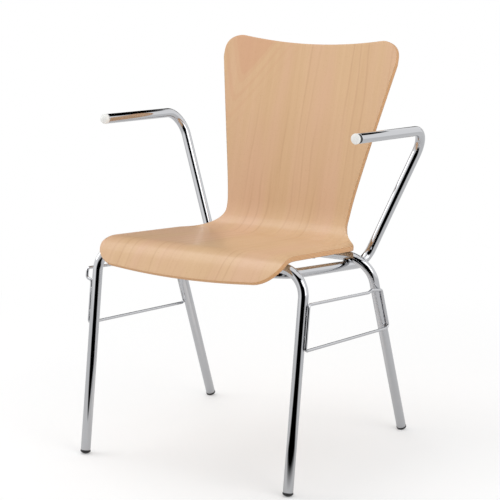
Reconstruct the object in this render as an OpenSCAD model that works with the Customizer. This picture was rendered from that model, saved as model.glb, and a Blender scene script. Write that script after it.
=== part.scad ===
// Stacking armchair: a moulded plywood shell screwed to a welded frame of bent, chromed steel tube.
// Two U-shaped leg tubes stand on the floor. One long tube forms both armrests, both seat rails and the
// cross piece that joins them. Wire frames on the outer sides of the legs link chairs in a row.
// The seat faces -Y, +X is the sitter's left and +Z is up. The origin is on the floor, under the middle.

/* [Tubes] */
// Outside diameter of the leg, arm and rail tubes
tube_d = 20; // [18:1:22]
// Wall of the leg, arm and rail tubes
tube_wall = 1.5; // [1:0.25:2.5]
// Outside diameter of the spine tube
spine_d = 15; // [13:0.5:17]
// Wall of the spine tube
spine_wall = 1.5; // [1:0.25:2]
// Diameter of the linking wire
wire_d = 6; // [5:0.5:7]
// Gap that a weld fills between two tubes lying side by side
weld_gap = 0.3; // [0.2:0.1:0.5]
// Reach of a weld bead from each surface that it joins
weld_reach = 1.6; // [1.2:0.1:2]
// Length of a weld bead between two tubes lying side by side
weld_len = 14; // [8:1:20]

/* [Legs] */
// Half the distance between the leg tubes' centres at the seat
leg_x = 239; // [229:1:249]
// How much further out a rear foot stands than its bar's corner
rear_splay = 4; // [0:1:8]
// Place of the front feet, forward of the middle
front_foot_y = -255; // [-262:1:-248]
// Place of the rear feet, behind the middle
rear_foot_y = 227; // [220:1:234]
// Place of the front bar, forward of the middle
front_bar_y = -193; // [-198:1:-188]
// Height of the front bar's centre
front_bar_z = 425; // [415:1:435]
// Place of the rear bar, behind the middle
rear_bar_y = 71; // [66:1:76]
// Height of the rear bar's centre
rear_bar_z = 401; // [393:1:409]
// Bend radius of the front leg tube, on its centre line
front_bend_r = 52; // [46:1:58]
// Bend radius of the rear leg tube, on its centre line
rear_bend_r = 57; // [50:1:62]

/* [Arms and rails] */
// Half the distance between the arm tubes at their front ends
arm_tip_x = 293; // [285:1:301]
// Place of an arm tube's front end, forward of the middle
arm_tip_y = -90; // [-112:1:-72]
// Height of an arm tube's front end
arm_tip_z = 666; // [656:1:676]
// Half the distance between the rear corners of the arms
arm_corner_x = 301; // [293:1:309]
// Place of the arms' rear corners, behind the middle
arm_corner_y = 198; // [190:1:206]
// Height of the arms' rear corners
arm_corner_z = 652; // [642:1:662]
// Bend radius at an arm's rear corner
arm_bend_r = 50; // [44:1:56]
// Half the distance between the seat rails
rail_x = 187; // [181:1:193]
// Place where a post turns forward into its rail, behind the middle
post_foot_y = 151; // [144:1:158]
// Bend radius where a post turns forward into its rail
post_bend_r = 36; // [32:1:42]
// Bend radius where a rail turns into the cross piece
rail_bend_r = 55; // [48:1:62]

/* [Seat shell] */
// Thickness of the plywood
shell_t = 9.5; // [8.5:0.5:11]
// Length of the curved front lip, along the shell
lip_len = 98; // [92:1:104]
// Slope of the front edge below the seat, in degrees
lip_angle = 56; // [48:1:64]
// Distance along the shell from the front edge to the start of the back's bend
seat_len = 335; // [330:1:340]
// Length of the bend between seat and back, along the shell
bend_len = 132; // [124:1:140]
// Angle between the seat and the foot of the back, in degrees
back_angle = 80; // [77:0.5:83]
// How much the back leans further at its top, in degrees
back_sweep = 3; // [0:0.5:6]
// Whole length along the shell
shell_len = 812; // [800:1:824]
// Where the front bar carries the shell, along it from the front edge
front_rest = 76; // [74:1:80]
// Half the width of the seat
seat_half_w = 208; // [200:1:214]
// How much wider each side flares at the front corners
front_flare = 6; // [0:1:8]
// Where the seat's sides start to draw in, along the shell
ear_len = 322; // [314:1:328]
// Where the shell is narrowest, along it
waist_len = 427; // [418:1:434]
// Half the width at the waist
waist_half_w = 147; // [140:1:154]
// Half the width at the top of the back
top_half_w = 220; // [212:1:228]
// How softly the waist opens into the back, as a share of the back's length
waist_round = 0.1; // [0.06:0.01:0.14]
// Radius of the front corners
front_corner_r = 56; // [48:1:60]
// How far the front edge swells forward at its middle
front_bulge = 14; // [0:1:18]
// Radius of the top corners
top_corner_r = 51; // [44:1:60]
// How far the top edge dips at its middle
top_dip = 12; // [0:1:18]
// Hollow of the back across its whole width at the top
back_hollow = 14; // [8:1:18]
// Rounding of the plywood's edges
edge_round = 1.2; // [0.8:0.1:2]

/* [Seat fixings] */
// Thickness of the pads between the bars and the shell
pad_t = 2.5; // [2:0.5:3.5]
// Length and width of a pad
pad_size = 20; // [18:1:22]
// How far a pad reaches down round its tube
pad_cradle = 4; // [3:0.5:5]
// Distance of the bars' pads from the middle
pad_x = 110; // [90:1:130]
// Where the spine's front screw enters, along the shell
spine_screw_a = 150; // [135:1:165]
// Where the spine's rear screw enters, along the shell
spine_screw_b = 265; // [250:1:285]
// Diameter of the seat screws
screw_d = 5; // [4:0.5:6]
// Clearance of a screw in its holes, on the diameter
screw_play = 0.6; // [0.4:0.1:1]
// Diameter of a screw's head
screw_head_d = 9.5; // [9:0.5:10]
// Height of a screw's head
screw_head_h = 3; // [2.5:0.5:3.5]
// Diameter of a washer
washer_d = 10; // [10:0.5:11]
// Thickness of a washer
washer_t = 1; // [0.8:0.1:1.5]
// Diameter of a threaded insert
insert_d = 8; // [7.5:0.5:9]
// Length of a threaded insert
insert_h = 6.5; // [5.5:0.5:7]

/* [Feet and caps] */
// Height of the black rim of a foot, along the leg
foot_rim = 3.5; // [3:0.5:5]
// Radius of a foot's domed sole
foot_dome_r = 14; // [13:0.5:16]
// Depth of the flat worn on the sole
foot_flat = 0.8; // [0.5:0.1:1.2]
// Length of a plug inside its tube
plug_len = 18; // [14:1:22]
// Clearance round a plug
plug_play = 0.1; // [0.05:0.05:0.2]
// Length of the straight collar of an arm cap
cap_collar = 3; // [2:0.5:8]
// How far feet and caps stand proud of the tube
cap_proud = 0.4; // [0.2:0.1:0.6]

/* [Linking wires] */
// Height of the plain wire's lower corner at the front leg
plain_low_z = 276; // [268:1:284]
// Height of the plain wire's upper corner at the front leg
plain_high_z = 363; // [355:1:370]
// Height of the plain wire's upper corner at the rear leg
plain_rear_z = 332; // [326:1:336]
// Length of the plain wire's top rail, up to its crank
plain_rail = 245; // [225:1:255]
// Height of the crank in the plain wire's top rail
crank_h = 4; // [3:0.5:6]
// Height of the hooked wire's lower corner at the front leg
hooked_low_z = 265; // [257:1:273]
// Height at which the hooked wire leaves the front leg
hooked_leave_z = 352; // [346:1:358]
// Height of the hooked wire's top rail at its front end
hooked_high_z = 375; // [370:1:380]
// Height of the hooked wire's upper corner at the rear leg
hooked_rear_z = 315; // [308:1:318]
// Length of the hooked wire's top rail
hooked_rail = 262; // [250:1:268]
// How far the hooked wire's top rail stands out from the legs
hook_out = 12.5; // [11:0.5:16]
// Fall of the wires' rails towards the rear, in degrees
wire_fall = 6; // [5:0.5:7]
// Bend radius of the wires, on the centre line
wire_bend_r = 7; // [5:0.5:8]

/* [Hidden] */
$fn = 48;
little = 0.01;

tube_r = tube_d / 2;
bore_r = tube_r - tube_wall;
spine_r = spine_d / 2;
wire_r = wire_d / 2;
screw_hole_r = (screw_d + screw_play) / 2;

// A bend is this much thicker than the straights, which run this far into it
bend_swell = 0.04;
bend_overlap = 0.5;

// Vectors and turns
function unit(v) = v / norm(v);
function in_side(p, side) = [side * p.x, p.y, p.z];
function flip(p) = in_side(p, -1);
function mirrored(list) = concat(list, [for (i = [len(list) - 1:-1:0]) list[i]]);
function both_sides(path) = concat(path, [for (i = [len(path) - 1:-1:0]) flip(path[i])]);
function lift(p, x = 0) = [x, p.x, p.y];
function turned(v, a) = [v.x * cos(a) - v.y * sin(a), v.x * sin(a) + v.y * cos(a)];
function heading(v) = atan2(v.y, v.x);
function ease(k) = let (c = max(0, min(1, k))) c * c * (3 - 2 * c);
function between(a, b, k) = a + (b - a) * k;
function steps(a, b, size) = let (n = ceil((b - a) / size)) [for (i = [0:n - 1]) between(a, b, i / n)];

// The bars and the spine, in the YZ plane
front_bar = [front_bar_y, front_bar_z];
rear_bar = [rear_bar_y, rear_bar_z];
bar_span = norm(rear_bar - front_bar);
bar_slope = heading(rear_bar - front_bar);
seat_up = [-sin(bar_slope), cos(bar_slope)];
spine_front = front_bar + (tube_r - spine_r) * seat_up;
spine_rear = rear_bar + (tube_r - spine_r) * seat_up;

// The cross piece nests under the spine and behind the front bar, and the rails pass under the rear bar
beside = tube_d + weld_gap;
tuck_angle = acos((spine_d + weld_gap) / beside) + bar_slope;
cross_piece = front_bar + beside * [sin(tuck_angle), -cos(tuck_angle)];
rail_slope = heading(rear_bar - cross_piece) - asin(beside / norm(rear_bar - cross_piece));
rail_corner = lift(cross_piece, rail_x);
function rail_at(y) = rail_corner + (y - cross_piece.x) * [0, 1, tan(rail_slope)];
post_foot = rail_at(post_foot_y);
arm_corner = [arm_corner_x, arm_corner_y, arm_corner_z];
arm_tip = [arm_tip_x, arm_tip_y, arm_tip_z];
arm_path = both_sides([arm_tip, arm_corner, post_foot, rail_corner]);
arm_bends = mirrored([0, arm_bend_r, post_bend_r, rail_bend_r]);

// A leg stands on a domed foot: its tube ends above the foot's rim
front_top = [leg_x, front_bar_y, front_bar_z];
rear_top = [leg_x, rear_bar_y, rear_bar_z];
front_floor = [leg_x, front_foot_y, 0];
rear_floor = [leg_x + rear_splay, rear_foot_y, 0];
foot_r = tube_r + cap_proud;
rim_low = -sqrt(foot_dome_r * foot_dome_r - foot_r * foot_r);
function leg_point(floor, top, z) = between(floor, top, z / top.z);
function dome_centre(floor, top) = leg_point(floor, top, foot_dome_r - foot_flat);
function tube_end(floor, top) = dome_centre(floor, top) + (rim_low + foot_rim) * unit(top - floor);
front_leg_path = both_sides([tube_end(front_floor, front_top), front_top]);
rear_leg_path = both_sides([tube_end(rear_floor, rear_top), rear_top]);

// A bent round bar through the given points. Each point has a bend radius, which is 0 at a free end.
function member(list, i) = list[(i + len(list)) % len(list)];
function corner_angle(a, b, c) = acos(unit(b - a) * unit(c - b));
function trim(path, bends, i, overrun) =
    member(bends, i) == 0 ? -overrun
    : member(bends, i) * tan(corner_angle(member(path, i - 1), member(path, i), member(path, i + 1)) / 2)
        - bend_overlap;
function across(v) = unit(cross(v, abs(v.x) > 0.9 * norm(v) ? [0, 1, 0] : [1, 0, 0]));

module in_axes(x, y, z, origin) {
    multmatrix([
        [x.x, y.x, z.x, origin.x],
        [x.y, y.y, z.y, origin.y],
        [x.z, y.z, z.z, origin.z],
        [0, 0, 0, 1]
    ])
        children();
}

module along(a, b) {
    side = across(b - a);
    forward = unit(b - a);
    in_axes(side, cross(forward, side), forward, a)
        children();
}

module rod(a, b, r) {
    along(a, b)
        cylinder(h = norm(b - a), r = r);
}

module elbow(a, b, c, bend_r, r) {
    into = unit(b - a);
    turn_axis = unit(cross(into, c - b));
    angle = corner_angle(a, b, c);
    inward = cross(turn_axis, into);
    start = b - bend_r * tan(angle / 2) * into;
    in_axes(-inward, into, turn_axis, start + bend_r * inward)
        rotate_extrude(angle = angle)
            translate([bend_r, 0])
                circle(r = r + bend_swell);
}

module bent_rod(path, bends, r, overrun = 0) {
    is_loop = bends[0] > 0;
    for (i = [0:len(path) - (is_loop ? 1 : 2)]) {
        forward = unit(member(path, i + 1) - path[i]);
        start = path[i] + trim(path, bends, i, overrun) * forward;
        end = member(path, i + 1) - trim(path, bends, i + 1, overrun) * forward;
        rod(start, end, r);
    }
    for (i = [0:len(path) - 1])
        if (bends[i] > 0)
            elbow(member(path, i - 1), path[i], member(path, i + 1), bends[i], r);
}

module bent_tube(path, bends, r, wall) {
    difference() {
        bent_rod(path, bends, r);
        bent_rod(path, bends, r - wall, overrun = 1);
    }
}

// The shell's side profile: slope along it, and points measured from its front edge
back_len = seat_len + bend_len;
function slope(s) =
    s < seat_len ? lip_angle * (1 - ease(s / lip_len)) :
    s < back_len ? back_angle * ease((s - seat_len) / bend_len) :
    back_angle - back_sweep * (s - back_len) / (shell_len - back_len);

trace_step = 2;
trace = [
    for (
        s = -2 * front_bulge, y = 0, z = 0;
        s < shell_len + 2 * trace_step;
        y = y + trace_step * cos(slope(s + trace_step / 2)),
        z = z + trace_step * sin(slope(s + trace_step / 2)),
        s = s + trace_step
    ) [s, y, z]
];
trace_y = [for (p = trace) [p.x, p.y]];
trace_z = [for (p = trace) [p.x, p.z]];
function profile(s) = [lookup(s, trace_y), lookup(s, trace_z)];
function upward(s) = [-sin(slope(s)), cos(slope(s))];

// The shell is laid on the bars: each bar's centre is this far under the sitting face
function bar_under(s) = profile(s) - (shell_t + pad_t + tube_r) * upward(s);
function rest_station(s, tries = 8) =
    tries == 0 ? s : rest_station(s + bar_span - norm(bar_under(s) - bar_under(front_rest)), tries - 1);
rear_rest = rest_station(front_rest + bar_span);
shell_turn = bar_slope - heading(bar_under(rear_rest) - bar_under(front_rest));
function on_shell(s, depth) =
    front_bar + turned(profile(s) - depth * upward(s) - bar_under(front_rest), shell_turn);
function shell_normal(s) = turned(upward(s), shell_turn);

// The shell's outline: half its width, and where its front and top edges lie
hollow_rate = back_hollow / (top_half_w * top_half_w);
function hollow(s, x) = hollow_rate * ease((s - seat_len) / bend_len) * x * x;
function opening(k) = (sqrt(k * k + waist_round * waist_round) - waist_round)
    / (sqrt(1 + waist_round * waist_round) - waist_round);
function half_width(s) =
    s < ear_len ? seat_half_w + front_flare * pow(max(0, 1 - s / lip_len), 2) :
    s < waist_len ? between(seat_half_w, waist_half_w, ease((s - ear_len) / (waist_len - ear_len))) :
    between(waist_half_w, top_half_w, opening((s - waist_len) / (shell_len - waist_len)));
front_inner = seat_half_w + front_flare - front_corner_r;
top_inner = top_half_w - top_corner_r;
function bow(x, width) = 1 - pow(x / width, 2);
front_corner_s = front_corner_r - front_bulge * bow(front_inner, front_inner + front_corner_r);
function arc_rise(x, inner, r) = sqrt(max(0, r * r - pow(max(0, abs(x) - inner), 2)));
function front_edge(x) =
    abs(x) < front_inner ? -front_bulge * bow(x, front_inner + front_corner_r)
    : front_corner_s - arc_rise(x, front_inner, front_corner_r);
function top_edge(x) =
    abs(x) < top_inner ? shell_len - top_dip * bow(x, top_inner)
    : shell_len - top_corner_r + arc_rise(x, top_inner, top_corner_r);

// Rows run across the shell. The end rows follow its edges, and the others lie straight across.
end_rows = 6;
first_row = front_corner_s + 6;
last_row = shell_len - top_corner_r - top_dip;
straight_rows = [
    each steps(first_row, lip_len, 6),
    each steps(lip_len, seat_len, 40),
    each steps(seat_len, back_len, 8),
    each steps(back_len, last_row, 40),
    last_row
];
row_count = 2 * end_rows + len(straight_rows);
corner_steps = 5;
inner_steps = 10;
corner_cols = [for (i = [0:corner_steps]) front_inner + front_corner_r * sin(90 * i / corner_steps)];
side_cols = corner_cols / (front_inner + front_corner_r);
inner_cols = [for (i = [1:inner_steps - 1]) side_cols[0] * (2 * i / inner_steps - 1)];
cols = [for (i = [corner_steps:-1:0]) -side_cols[i], each inner_cols, each side_cols];
col_count = len(cols);

function row_station(i, u, inset) =
    i < end_rows ? between(
        front_edge(u * (front_inner + front_corner_r)) + inset, first_row, i / end_rows) :
    i < end_rows + len(straight_rows) ? straight_rows[i - end_rows] :
    between(
        last_row, top_edge(u * top_half_w) - inset, (i + 1 - end_rows - len(straight_rows)) / end_rows);
function shell_point(i, j, inset, depth) =
    let (
        s = row_station(i, cols[j], inset),
        width = half_width(max(front_corner_s, min(shell_len - top_corner_r, s))),
        grown = s > shell_len - top_corner_r ? top_half_w / half_width(shell_len - top_corner_r) : 1,
        x = cols[j] * (width * between(1, grown, ease((s - last_row) / (shell_len - last_row))) - inset)
    )
    lift(on_shell(s, depth - hollow(s, x)), x);
underside_rows = [for (s = straight_rows) let (p = on_shell(s, shell_t)) [s, p.x, p.y]];
underside_y = [for (p = underside_rows) [p.x, p.y]];
underside_z = [for (p = underside_rows) [p.x, p.z]];
function underside(s) = [lookup(s, underside_y), lookup(s, underside_z)];

// A fixing lies on the shell's normal, at this depth from its underside to the tube's centre
function spine_depth(s) =
    let (n = shell_normal(s), p = underside(s) - spine_front, d = unit(spine_rear - spine_front))
    (p.x * d.y - p.y * d.x) / (n.x * d.y - n.y * d.x);

module pad_blank(s, x, depth) {
    half = pad_size / 2;
    inner = [for (row = straight_rows) if (row > s - half && row < s + half) row];
    top = [for (row = [s - half, each inner, s + half]) underside(row)];
    drop = (depth + pad_cradle) * shell_normal(s);
    translate([x - half, 0, 0])
        rotate([90, 0, 90])
            linear_extrude(height = pad_size)
                polygon([each top, underside(s + half) - drop, underside(s - half) - drop]);
}

module screw_axis(s, x) {
    n = lift(shell_normal(s));
    in_axes([1, 0, 0], cross(n, [1, 0, 0]), n, lift(underside(s), x))
        children();
}

module screw_hole(s, x, deep) {
    screw_axis(s, x)
        translate([0, 0, -deep])
            cylinder(h = deep + screw_play, r = screw_hole_r);
}

module at_rear_screws() {
    for (side = [-1, 1])
        screw_axis(rear_rest, side * pad_x)
            children();
}

module at_spine_screws() {
    for (s = [spine_screw_a, spine_screw_b])
        screw_axis(s, 0)
            children();
}

module seat_screw(grip) {
    reach = insert_h - 0.5;
    under_head = grip + washer_t;
    translate([0, 0, -under_head])
        cylinder(h = under_head + reach, r = screw_d / 2);
    difference() {
        translate([0, 0, -under_head - screw_head_h])
            cylinder(h = screw_head_h, r1 = screw_head_d / 2 - 1, r2 = screw_head_d / 2);
        translate([0, 0, -under_head - screw_head_h - little])
            cylinder(h = 2, r = screw_d / 3, $fn = 6);
    }
}

module washer(grip) {
    translate([0, 0, -grip - washer_t])
        difference() {
            cylinder(h = washer_t, r = washer_d / 2);
            translate([0, 0, -1])
                cylinder(h = washer_t + 2, r = screw_hole_r);
        }
}

rear_grip = pad_t + tube_d;
function spine_grip(s) = spine_depth(s) + spine_r;

module seat_shell() {
    rows_last = row_count - 1;
    cols_last = col_count - 1;
    faces_n = row_count * col_count;
    rim = [
        for (j = [0:cols_last]) [0, j],
        for (i = [1:rows_last]) [i, cols_last],
        for (j = [cols_last - 1:-1:0]) [rows_last, j],
        for (i = [rows_last - 1:-1:1]) [i, 0]
    ];
    rim_n = len(rim);
    top = [for (i = [0:rows_last]) for (j = [0:cols_last]) shell_point(i, j, edge_round, 0)];
    bottom = [for (i = [0:rows_last]) for (j = [0:cols_last]) shell_point(i, j, edge_round, shell_t)];
    edge_high = [for (r = rim) shell_point(r.x, r.y, 0, edge_round)];
    edge_low = [for (r = rim) shell_point(r.x, r.y, 0, shell_t - edge_round)];
    function at(i, j) = i * col_count + j;
    function rim_at(k, level) =
        let (r = rim[k % rim_n])
        level == 0 ? at(r.x, r.y) :
        level == 3 ? faces_n + at(r.x, r.y) :
        2 * faces_n + (level - 1) * rim_n + k % rim_n;
    top_faces = [
        for (i = [0:rows_last - 1]) for (j = [0:cols_last - 1])
            each [
                [at(i, j), at(i + 1, j), at(i + 1, j + 1)],
                [at(i, j), at(i + 1, j + 1), at(i, j + 1)]
            ]
    ];
    bottom_faces = [for (f = top_faces) [faces_n + f[0], faces_n + f[2], faces_n + f[1]]];
    edge_faces = [
        for (level = [0:2]) for (k = [0:rim_n - 1])
            each [
                [rim_at(k, level), rim_at(k + 1, level), rim_at(k + 1, level + 1)],
                [rim_at(k, level), rim_at(k + 1, level + 1), rim_at(k, level + 1)]
            ]
    ];
    color("burlywood")
        difference() {
            polyhedron(
                points = concat(top, bottom, edge_high, edge_low),
                faces = concat(top_faces, bottom_faces, edge_faces)
            );
            at_rear_screws()
                insert_pocket();
            at_spine_screws()
                insert_pocket();
        }
}

module insert_pocket() {
    translate([0, 0, -1])
        cylinder(h = insert_h + 1, r = insert_d / 2);
}

module front_leg_tube() {
    color("silver")
        bent_tube(front_leg_path, mirrored([0, front_bend_r]), tube_r, tube_wall);
}

module rear_leg_tube() {
    color("silver")
        difference() {
            bent_tube(rear_leg_path, mirrored([0, rear_bend_r]), tube_r, tube_wall);
            for (side = [-1, 1])
                screw_hole(rear_rest, side * pad_x, rear_grip + 1);
        }
}

module arm_and_rail_tube() {
    color("silver")
        bent_tube(arm_path, arm_bends, tube_r, tube_wall);
}

module spine_tube() {
    a = lift(spine_front);
    b = lift(spine_rear);
    color("silver")
        difference() {
            rod(a, b, spine_r);
            rod(a, b, spine_r - spine_wall);
            for (bar = [front_bar, rear_bar])
                rod(lift(bar, -tube_d), lift(bar, tube_d), tube_r + weld_gap);
            for (s = [spine_screw_a, spine_screw_b])
                screw_hole(s, 0, spine_grip(s) + 1);
        }
}

module foot(floor, top) {
    centre = dome_centre(floor, top);
    color([0.06, 0.06, 0.06])
        difference() {
            along(centre, top) {
                intersection() {
                    sphere(r = foot_dome_r);
                    translate([0, 0, -foot_dome_r])
                        cylinder(h = foot_dome_r + rim_low, r = foot_r);
                }
                translate([0, 0, rim_low])
                    cylinder(h = foot_rim, r = foot_r);
                translate([0, 0, rim_low + foot_rim])
                    cylinder(h = plug_len, r = bore_r - plug_play);
            }
            translate([centre.x - tube_d, centre.y - tube_d, -tube_d])
                cube([2 * tube_d, 2 * tube_d, tube_d]);
        }
}

module front_left_foot() {
    foot(front_floor, front_top);
}

module front_right_foot() {
    foot(flip(front_floor), flip(front_top));
}

module rear_left_foot() {
    foot(rear_floor, rear_top);
}

module rear_right_foot() {
    foot(flip(rear_floor), flip(rear_top));
}

module arm_cap(tip, corner) {
    cap_r = tube_r + cap_proud;
    color("white")
        along(tip, 2 * tip - corner) {
            cylinder(h = cap_collar, r = cap_r);
            translate([0, 0, cap_collar])
                intersection() {
                    sphere(r = cap_r);
                    cylinder(h = 2 * cap_r, r = 2 * cap_r);
                }
            translate([0, 0, -plug_len])
                cylinder(h = plug_len, r = bore_r - plug_play);
        }
}

module left_arm_cap() {
    arm_cap(arm_tip, arm_corner);
}

module right_arm_cap() {
    arm_cap(flip(arm_tip), flip(arm_corner));
}

// Linking wires, drawn on the +X side
outside = tube_r + wire_r + weld_gap;
wire_run = [0, 1, -tan(wire_fall)];
hook_shift = [hook_out, 0, 0];
function beside_front(z) = leg_point(front_floor, front_top, z) + [outside, 0, 0];
function beside_rear(z) = leg_point(rear_floor, rear_top, z) + [outside, 0, 0];
function rear_low(z) = z - tan(wire_fall) * (rear_bar_y - front_bar_y + tube_d);
plain_crank = beside_front(plain_high_z) + plain_rail * wire_run;
plain_corners = [
    beside_front(plain_low_z),
    beside_front(plain_high_z),
    plain_crank,
    plain_crank + 3 * crank_h * wire_run + [0, 0, crank_h],
    beside_rear(plain_rear_z),
    beside_rear(rear_low(plain_low_z))
];
hooked_end = beside_front(hooked_high_z) + hook_shift + hooked_rail * wire_run;
hooked_corners = [
    beside_front(hooked_low_z),
    beside_front(hooked_leave_z),
    beside_front(hooked_leave_z) + hook_shift + [0, 0, wire_r],
    beside_front(hooked_high_z) + hook_shift,
    hooked_end,
    hooked_end - 0.65 * hook_shift + 2 * wire_bend_r * [0, 1, -1.5],
    beside_rear(hooked_rear_z),
    beside_rear(rear_low(hooked_low_z))
];

module wire_loop(corners) {
    bent_rod(corners, [for (c = corners) wire_bend_r], wire_r);
}

module plain_linking_wire() {
    color("silver")
        wire_loop(plain_corners);
}

module hooked_linking_wire() {
    color("silver")
        mirror([1, 0, 0])
            wire_loop(hooked_corners);
}

module pad_with_hole(s, x, depth) {
    difference() {
        pad_blank(s, x, depth);
        screw_hole(s, x, depth + tube_d);
    }
}

module front_seat_pads() {
    color("dimgray")
        difference() {
            for (side = [-1, 1])
                pad_blank(front_rest, side * pad_x, pad_t);
            rod(lift(front_bar, -leg_x), lift(front_bar, leg_x), tube_r);
        }
}

module rear_seat_pads() {
    color("dimgray")
        difference() {
            for (side = [-1, 1])
                pad_with_hole(rear_rest, side * pad_x, pad_t);
            rod(lift(rear_bar, -leg_x), lift(rear_bar, leg_x), tube_r);
        }
}

module spine_seat_pads() {
    color("dimgray")
        difference() {
            for (s = [spine_screw_a, spine_screw_b])
                pad_with_hole(s, 0, spine_depth(s) - spine_r);
            rod(lift(spine_front), lift(spine_rear), spine_r);
        }
}

module rear_seat_screws() {
    color("lightgray")
        at_rear_screws()
            seat_screw(rear_grip);
}

module spine_seat_screws() {
    color("lightgray")
        for (s = [spine_screw_a, spine_screw_b])
            screw_axis(s, 0)
                seat_screw(spine_grip(s));
}

module screw_washers() {
    color("lightgray") {
        at_rear_screws()
            washer(rear_grip);
        for (s = [spine_screw_a, spine_screw_b])
            screw_axis(s, 0)
                washer(spine_grip(s));
    }
}

module threaded_insert() {
    difference() {
        cylinder(h = insert_h, r = insert_d / 2);
        translate([0, 0, -1])
            cylinder(h = insert_h + 2, r = screw_d / 2);
    }
}

module threaded_inserts() {
    color("goldenrod") {
        at_rear_screws()
            threaded_insert();
        at_spine_screws()
            threaded_insert();
    }
}

// A weld bead lies in the corner between two rods, within reach of both
module bead(a, b, r1, c, d, r2) {
    difference() {
        intersection() {
            rod(a, b, r1 + weld_reach);
            rod(c, d, r2 + weld_reach);
        }
        rod(between(a, b, -1), between(a, b, 2), r1);
        rod(between(c, d, -1), between(c, d, 2), r2);
    }
}

module front_bar_welds() {
    spine_way = lift(unit(spine_rear - spine_front));
    start = lift(spine_front) + 0.6 * tube_r * spine_way;
    color("silver") {
        bead(lift(front_bar, -tube_d), lift(front_bar, tube_d), tube_r, start, start + tube_d * spine_way,
            spine_r);
        for (x = [-pad_x, -pad_x / 2, pad_x / 2, pad_x])
            bead(
                lift(front_bar, x - weld_len / 2), lift(front_bar, x + weld_len / 2), tube_r,
                lift(cross_piece, x - weld_len / 2), lift(cross_piece, x + weld_len / 2), tube_r
            );
    }
}

module rear_bar_welds() {
    spine_way = lift(unit(spine_front - spine_rear));
    start = lift(spine_rear) + 0.6 * tube_r * spine_way;
    color("silver") {
        bead(lift(rear_bar, -tube_d), lift(rear_bar, tube_d), tube_r, start, start + tube_d * spine_way,
            spine_r);
        for (side = [-1, 1])
            bead(
                lift(rear_bar, side * rail_x - tube_d), lift(rear_bar, side * rail_x + tube_d), tube_r,
                in_side(rail_at(rear_bar_y - tube_d), side), in_side(rail_at(rear_bar_y + tube_d), side),
                tube_r
            );
    }
}

module wire_bead(low, high) {
    bead(low - [outside, 0, 0], high - [outside, 0, 0], tube_r, low, high, wire_r);
}

module wire_welds(front_low, front_high, rear_low, rear_high) {
    clear = 2 * wire_bend_r;
    for (z = [front_low + clear, front_high - clear - weld_len])
        wire_bead(beside_front(z), beside_front(z + weld_len));
    for (z = [rear_low + clear, rear_high - clear - weld_len])
        wire_bead(beside_rear(z), beside_rear(z + weld_len));
}

module linking_wire_welds() {
    color("silver") {
        wire_welds(plain_low_z, plain_high_z, rear_low(plain_low_z), plain_rear_z);
        mirror([1, 0, 0])
            wire_welds(hooked_low_z, hooked_leave_z, rear_low(hooked_low_z), hooked_rear_z);
    }
}

seat_shell();
front_leg_tube();
rear_leg_tube();
arm_and_rail_tube();
spine_tube();
left_arm_cap();
right_arm_cap();
front_left_foot();
front_right_foot();
rear_left_foot();
rear_right_foot();
plain_linking_wire();
hooked_linking_wire();
front_seat_pads();
rear_seat_pads();
spine_seat_pads();
rear_seat_screws();
spine_seat_screws();
screw_washers();
threaded_inserts();
front_bar_welds();
rear_bar_welds();
linking_wire_welds();
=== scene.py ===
"""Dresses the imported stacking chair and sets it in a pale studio."""
import logging
import math
from collections.abc import Callable, Iterator, Sequence
from contextlib import contextmanager
from dataclasses import dataclass
from enum import Enum
from functools import cached_property

import bpy
from mathutils import Matrix, Vector


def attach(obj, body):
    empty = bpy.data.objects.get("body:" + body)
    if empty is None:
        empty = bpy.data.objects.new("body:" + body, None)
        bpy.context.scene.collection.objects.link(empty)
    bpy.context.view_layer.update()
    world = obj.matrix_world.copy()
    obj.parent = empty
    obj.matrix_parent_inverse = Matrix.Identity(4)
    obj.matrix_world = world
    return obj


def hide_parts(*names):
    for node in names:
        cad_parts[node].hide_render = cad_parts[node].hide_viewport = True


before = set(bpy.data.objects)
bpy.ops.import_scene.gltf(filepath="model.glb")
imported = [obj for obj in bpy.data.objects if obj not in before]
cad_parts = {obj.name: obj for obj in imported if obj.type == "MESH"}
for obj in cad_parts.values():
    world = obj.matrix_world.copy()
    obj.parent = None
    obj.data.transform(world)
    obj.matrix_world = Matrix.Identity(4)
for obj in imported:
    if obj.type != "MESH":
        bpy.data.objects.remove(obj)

LOG = logging.getLogger("stacking_chair")
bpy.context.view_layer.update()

Colour = tuple[float, float, float, float]
Point = tuple[float, float]
Stretch = tuple[float, float, float]
Row = Callable[[float], float]

SHEET_MAP = "Veneer"
DEPTH_NOTE = "depth"


# ----------------------------------------------------------------------------------------------
# Shader expressions
# ----------------------------------------------------------------------------------------------


class Signal:
    """A node's output that takes part in Python arithmetic."""

    def __init__(self, graph: "Graph", socket: bpy.types.NodeSocket) -> None:
        """Wraps an output of a graph's node."""
        self.graph = graph
        self.socket = socket

    def __add__(self, other: "Value") -> "Signal":
        """Adds a value."""
        return self.graph.math("ADD", self, other)

    def __radd__(self, other: "Value") -> "Signal":
        """Adds to a number."""
        return self.graph.math("ADD", other, self)

    def __sub__(self, other: "Value") -> "Signal":
        """Takes a value away."""
        return self.graph.math("SUBTRACT", self, other)

    def __rsub__(self, other: "Value") -> "Signal":
        """Is taken away from a number."""
        return self.graph.math("SUBTRACT", other, self)

    def __mul__(self, other: "Value") -> "Signal":
        """Multiplies by a value."""
        return self.graph.math("MULTIPLY", self, other)

    def __rmul__(self, other: "Value") -> "Signal":
        """Multiplies a number."""
        return self.graph.math("MULTIPLY", other, self)

    def sine(self) -> "Signal":
        """Gives the sine, of an angle in radians."""
        return self.graph.math("SINE", self)

    def ramp(self, low: float, high: float) -> "Signal":
        """Rises smoothly from 0, at the low value, to 1, at the high one."""
        settings = {"interpolation_type": "SMOOTHSTEP"}
        return self.graph.node("ShaderNodeMapRange", settings, {0: self, 1: low, 2: high})


Value = Signal | float


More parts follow.
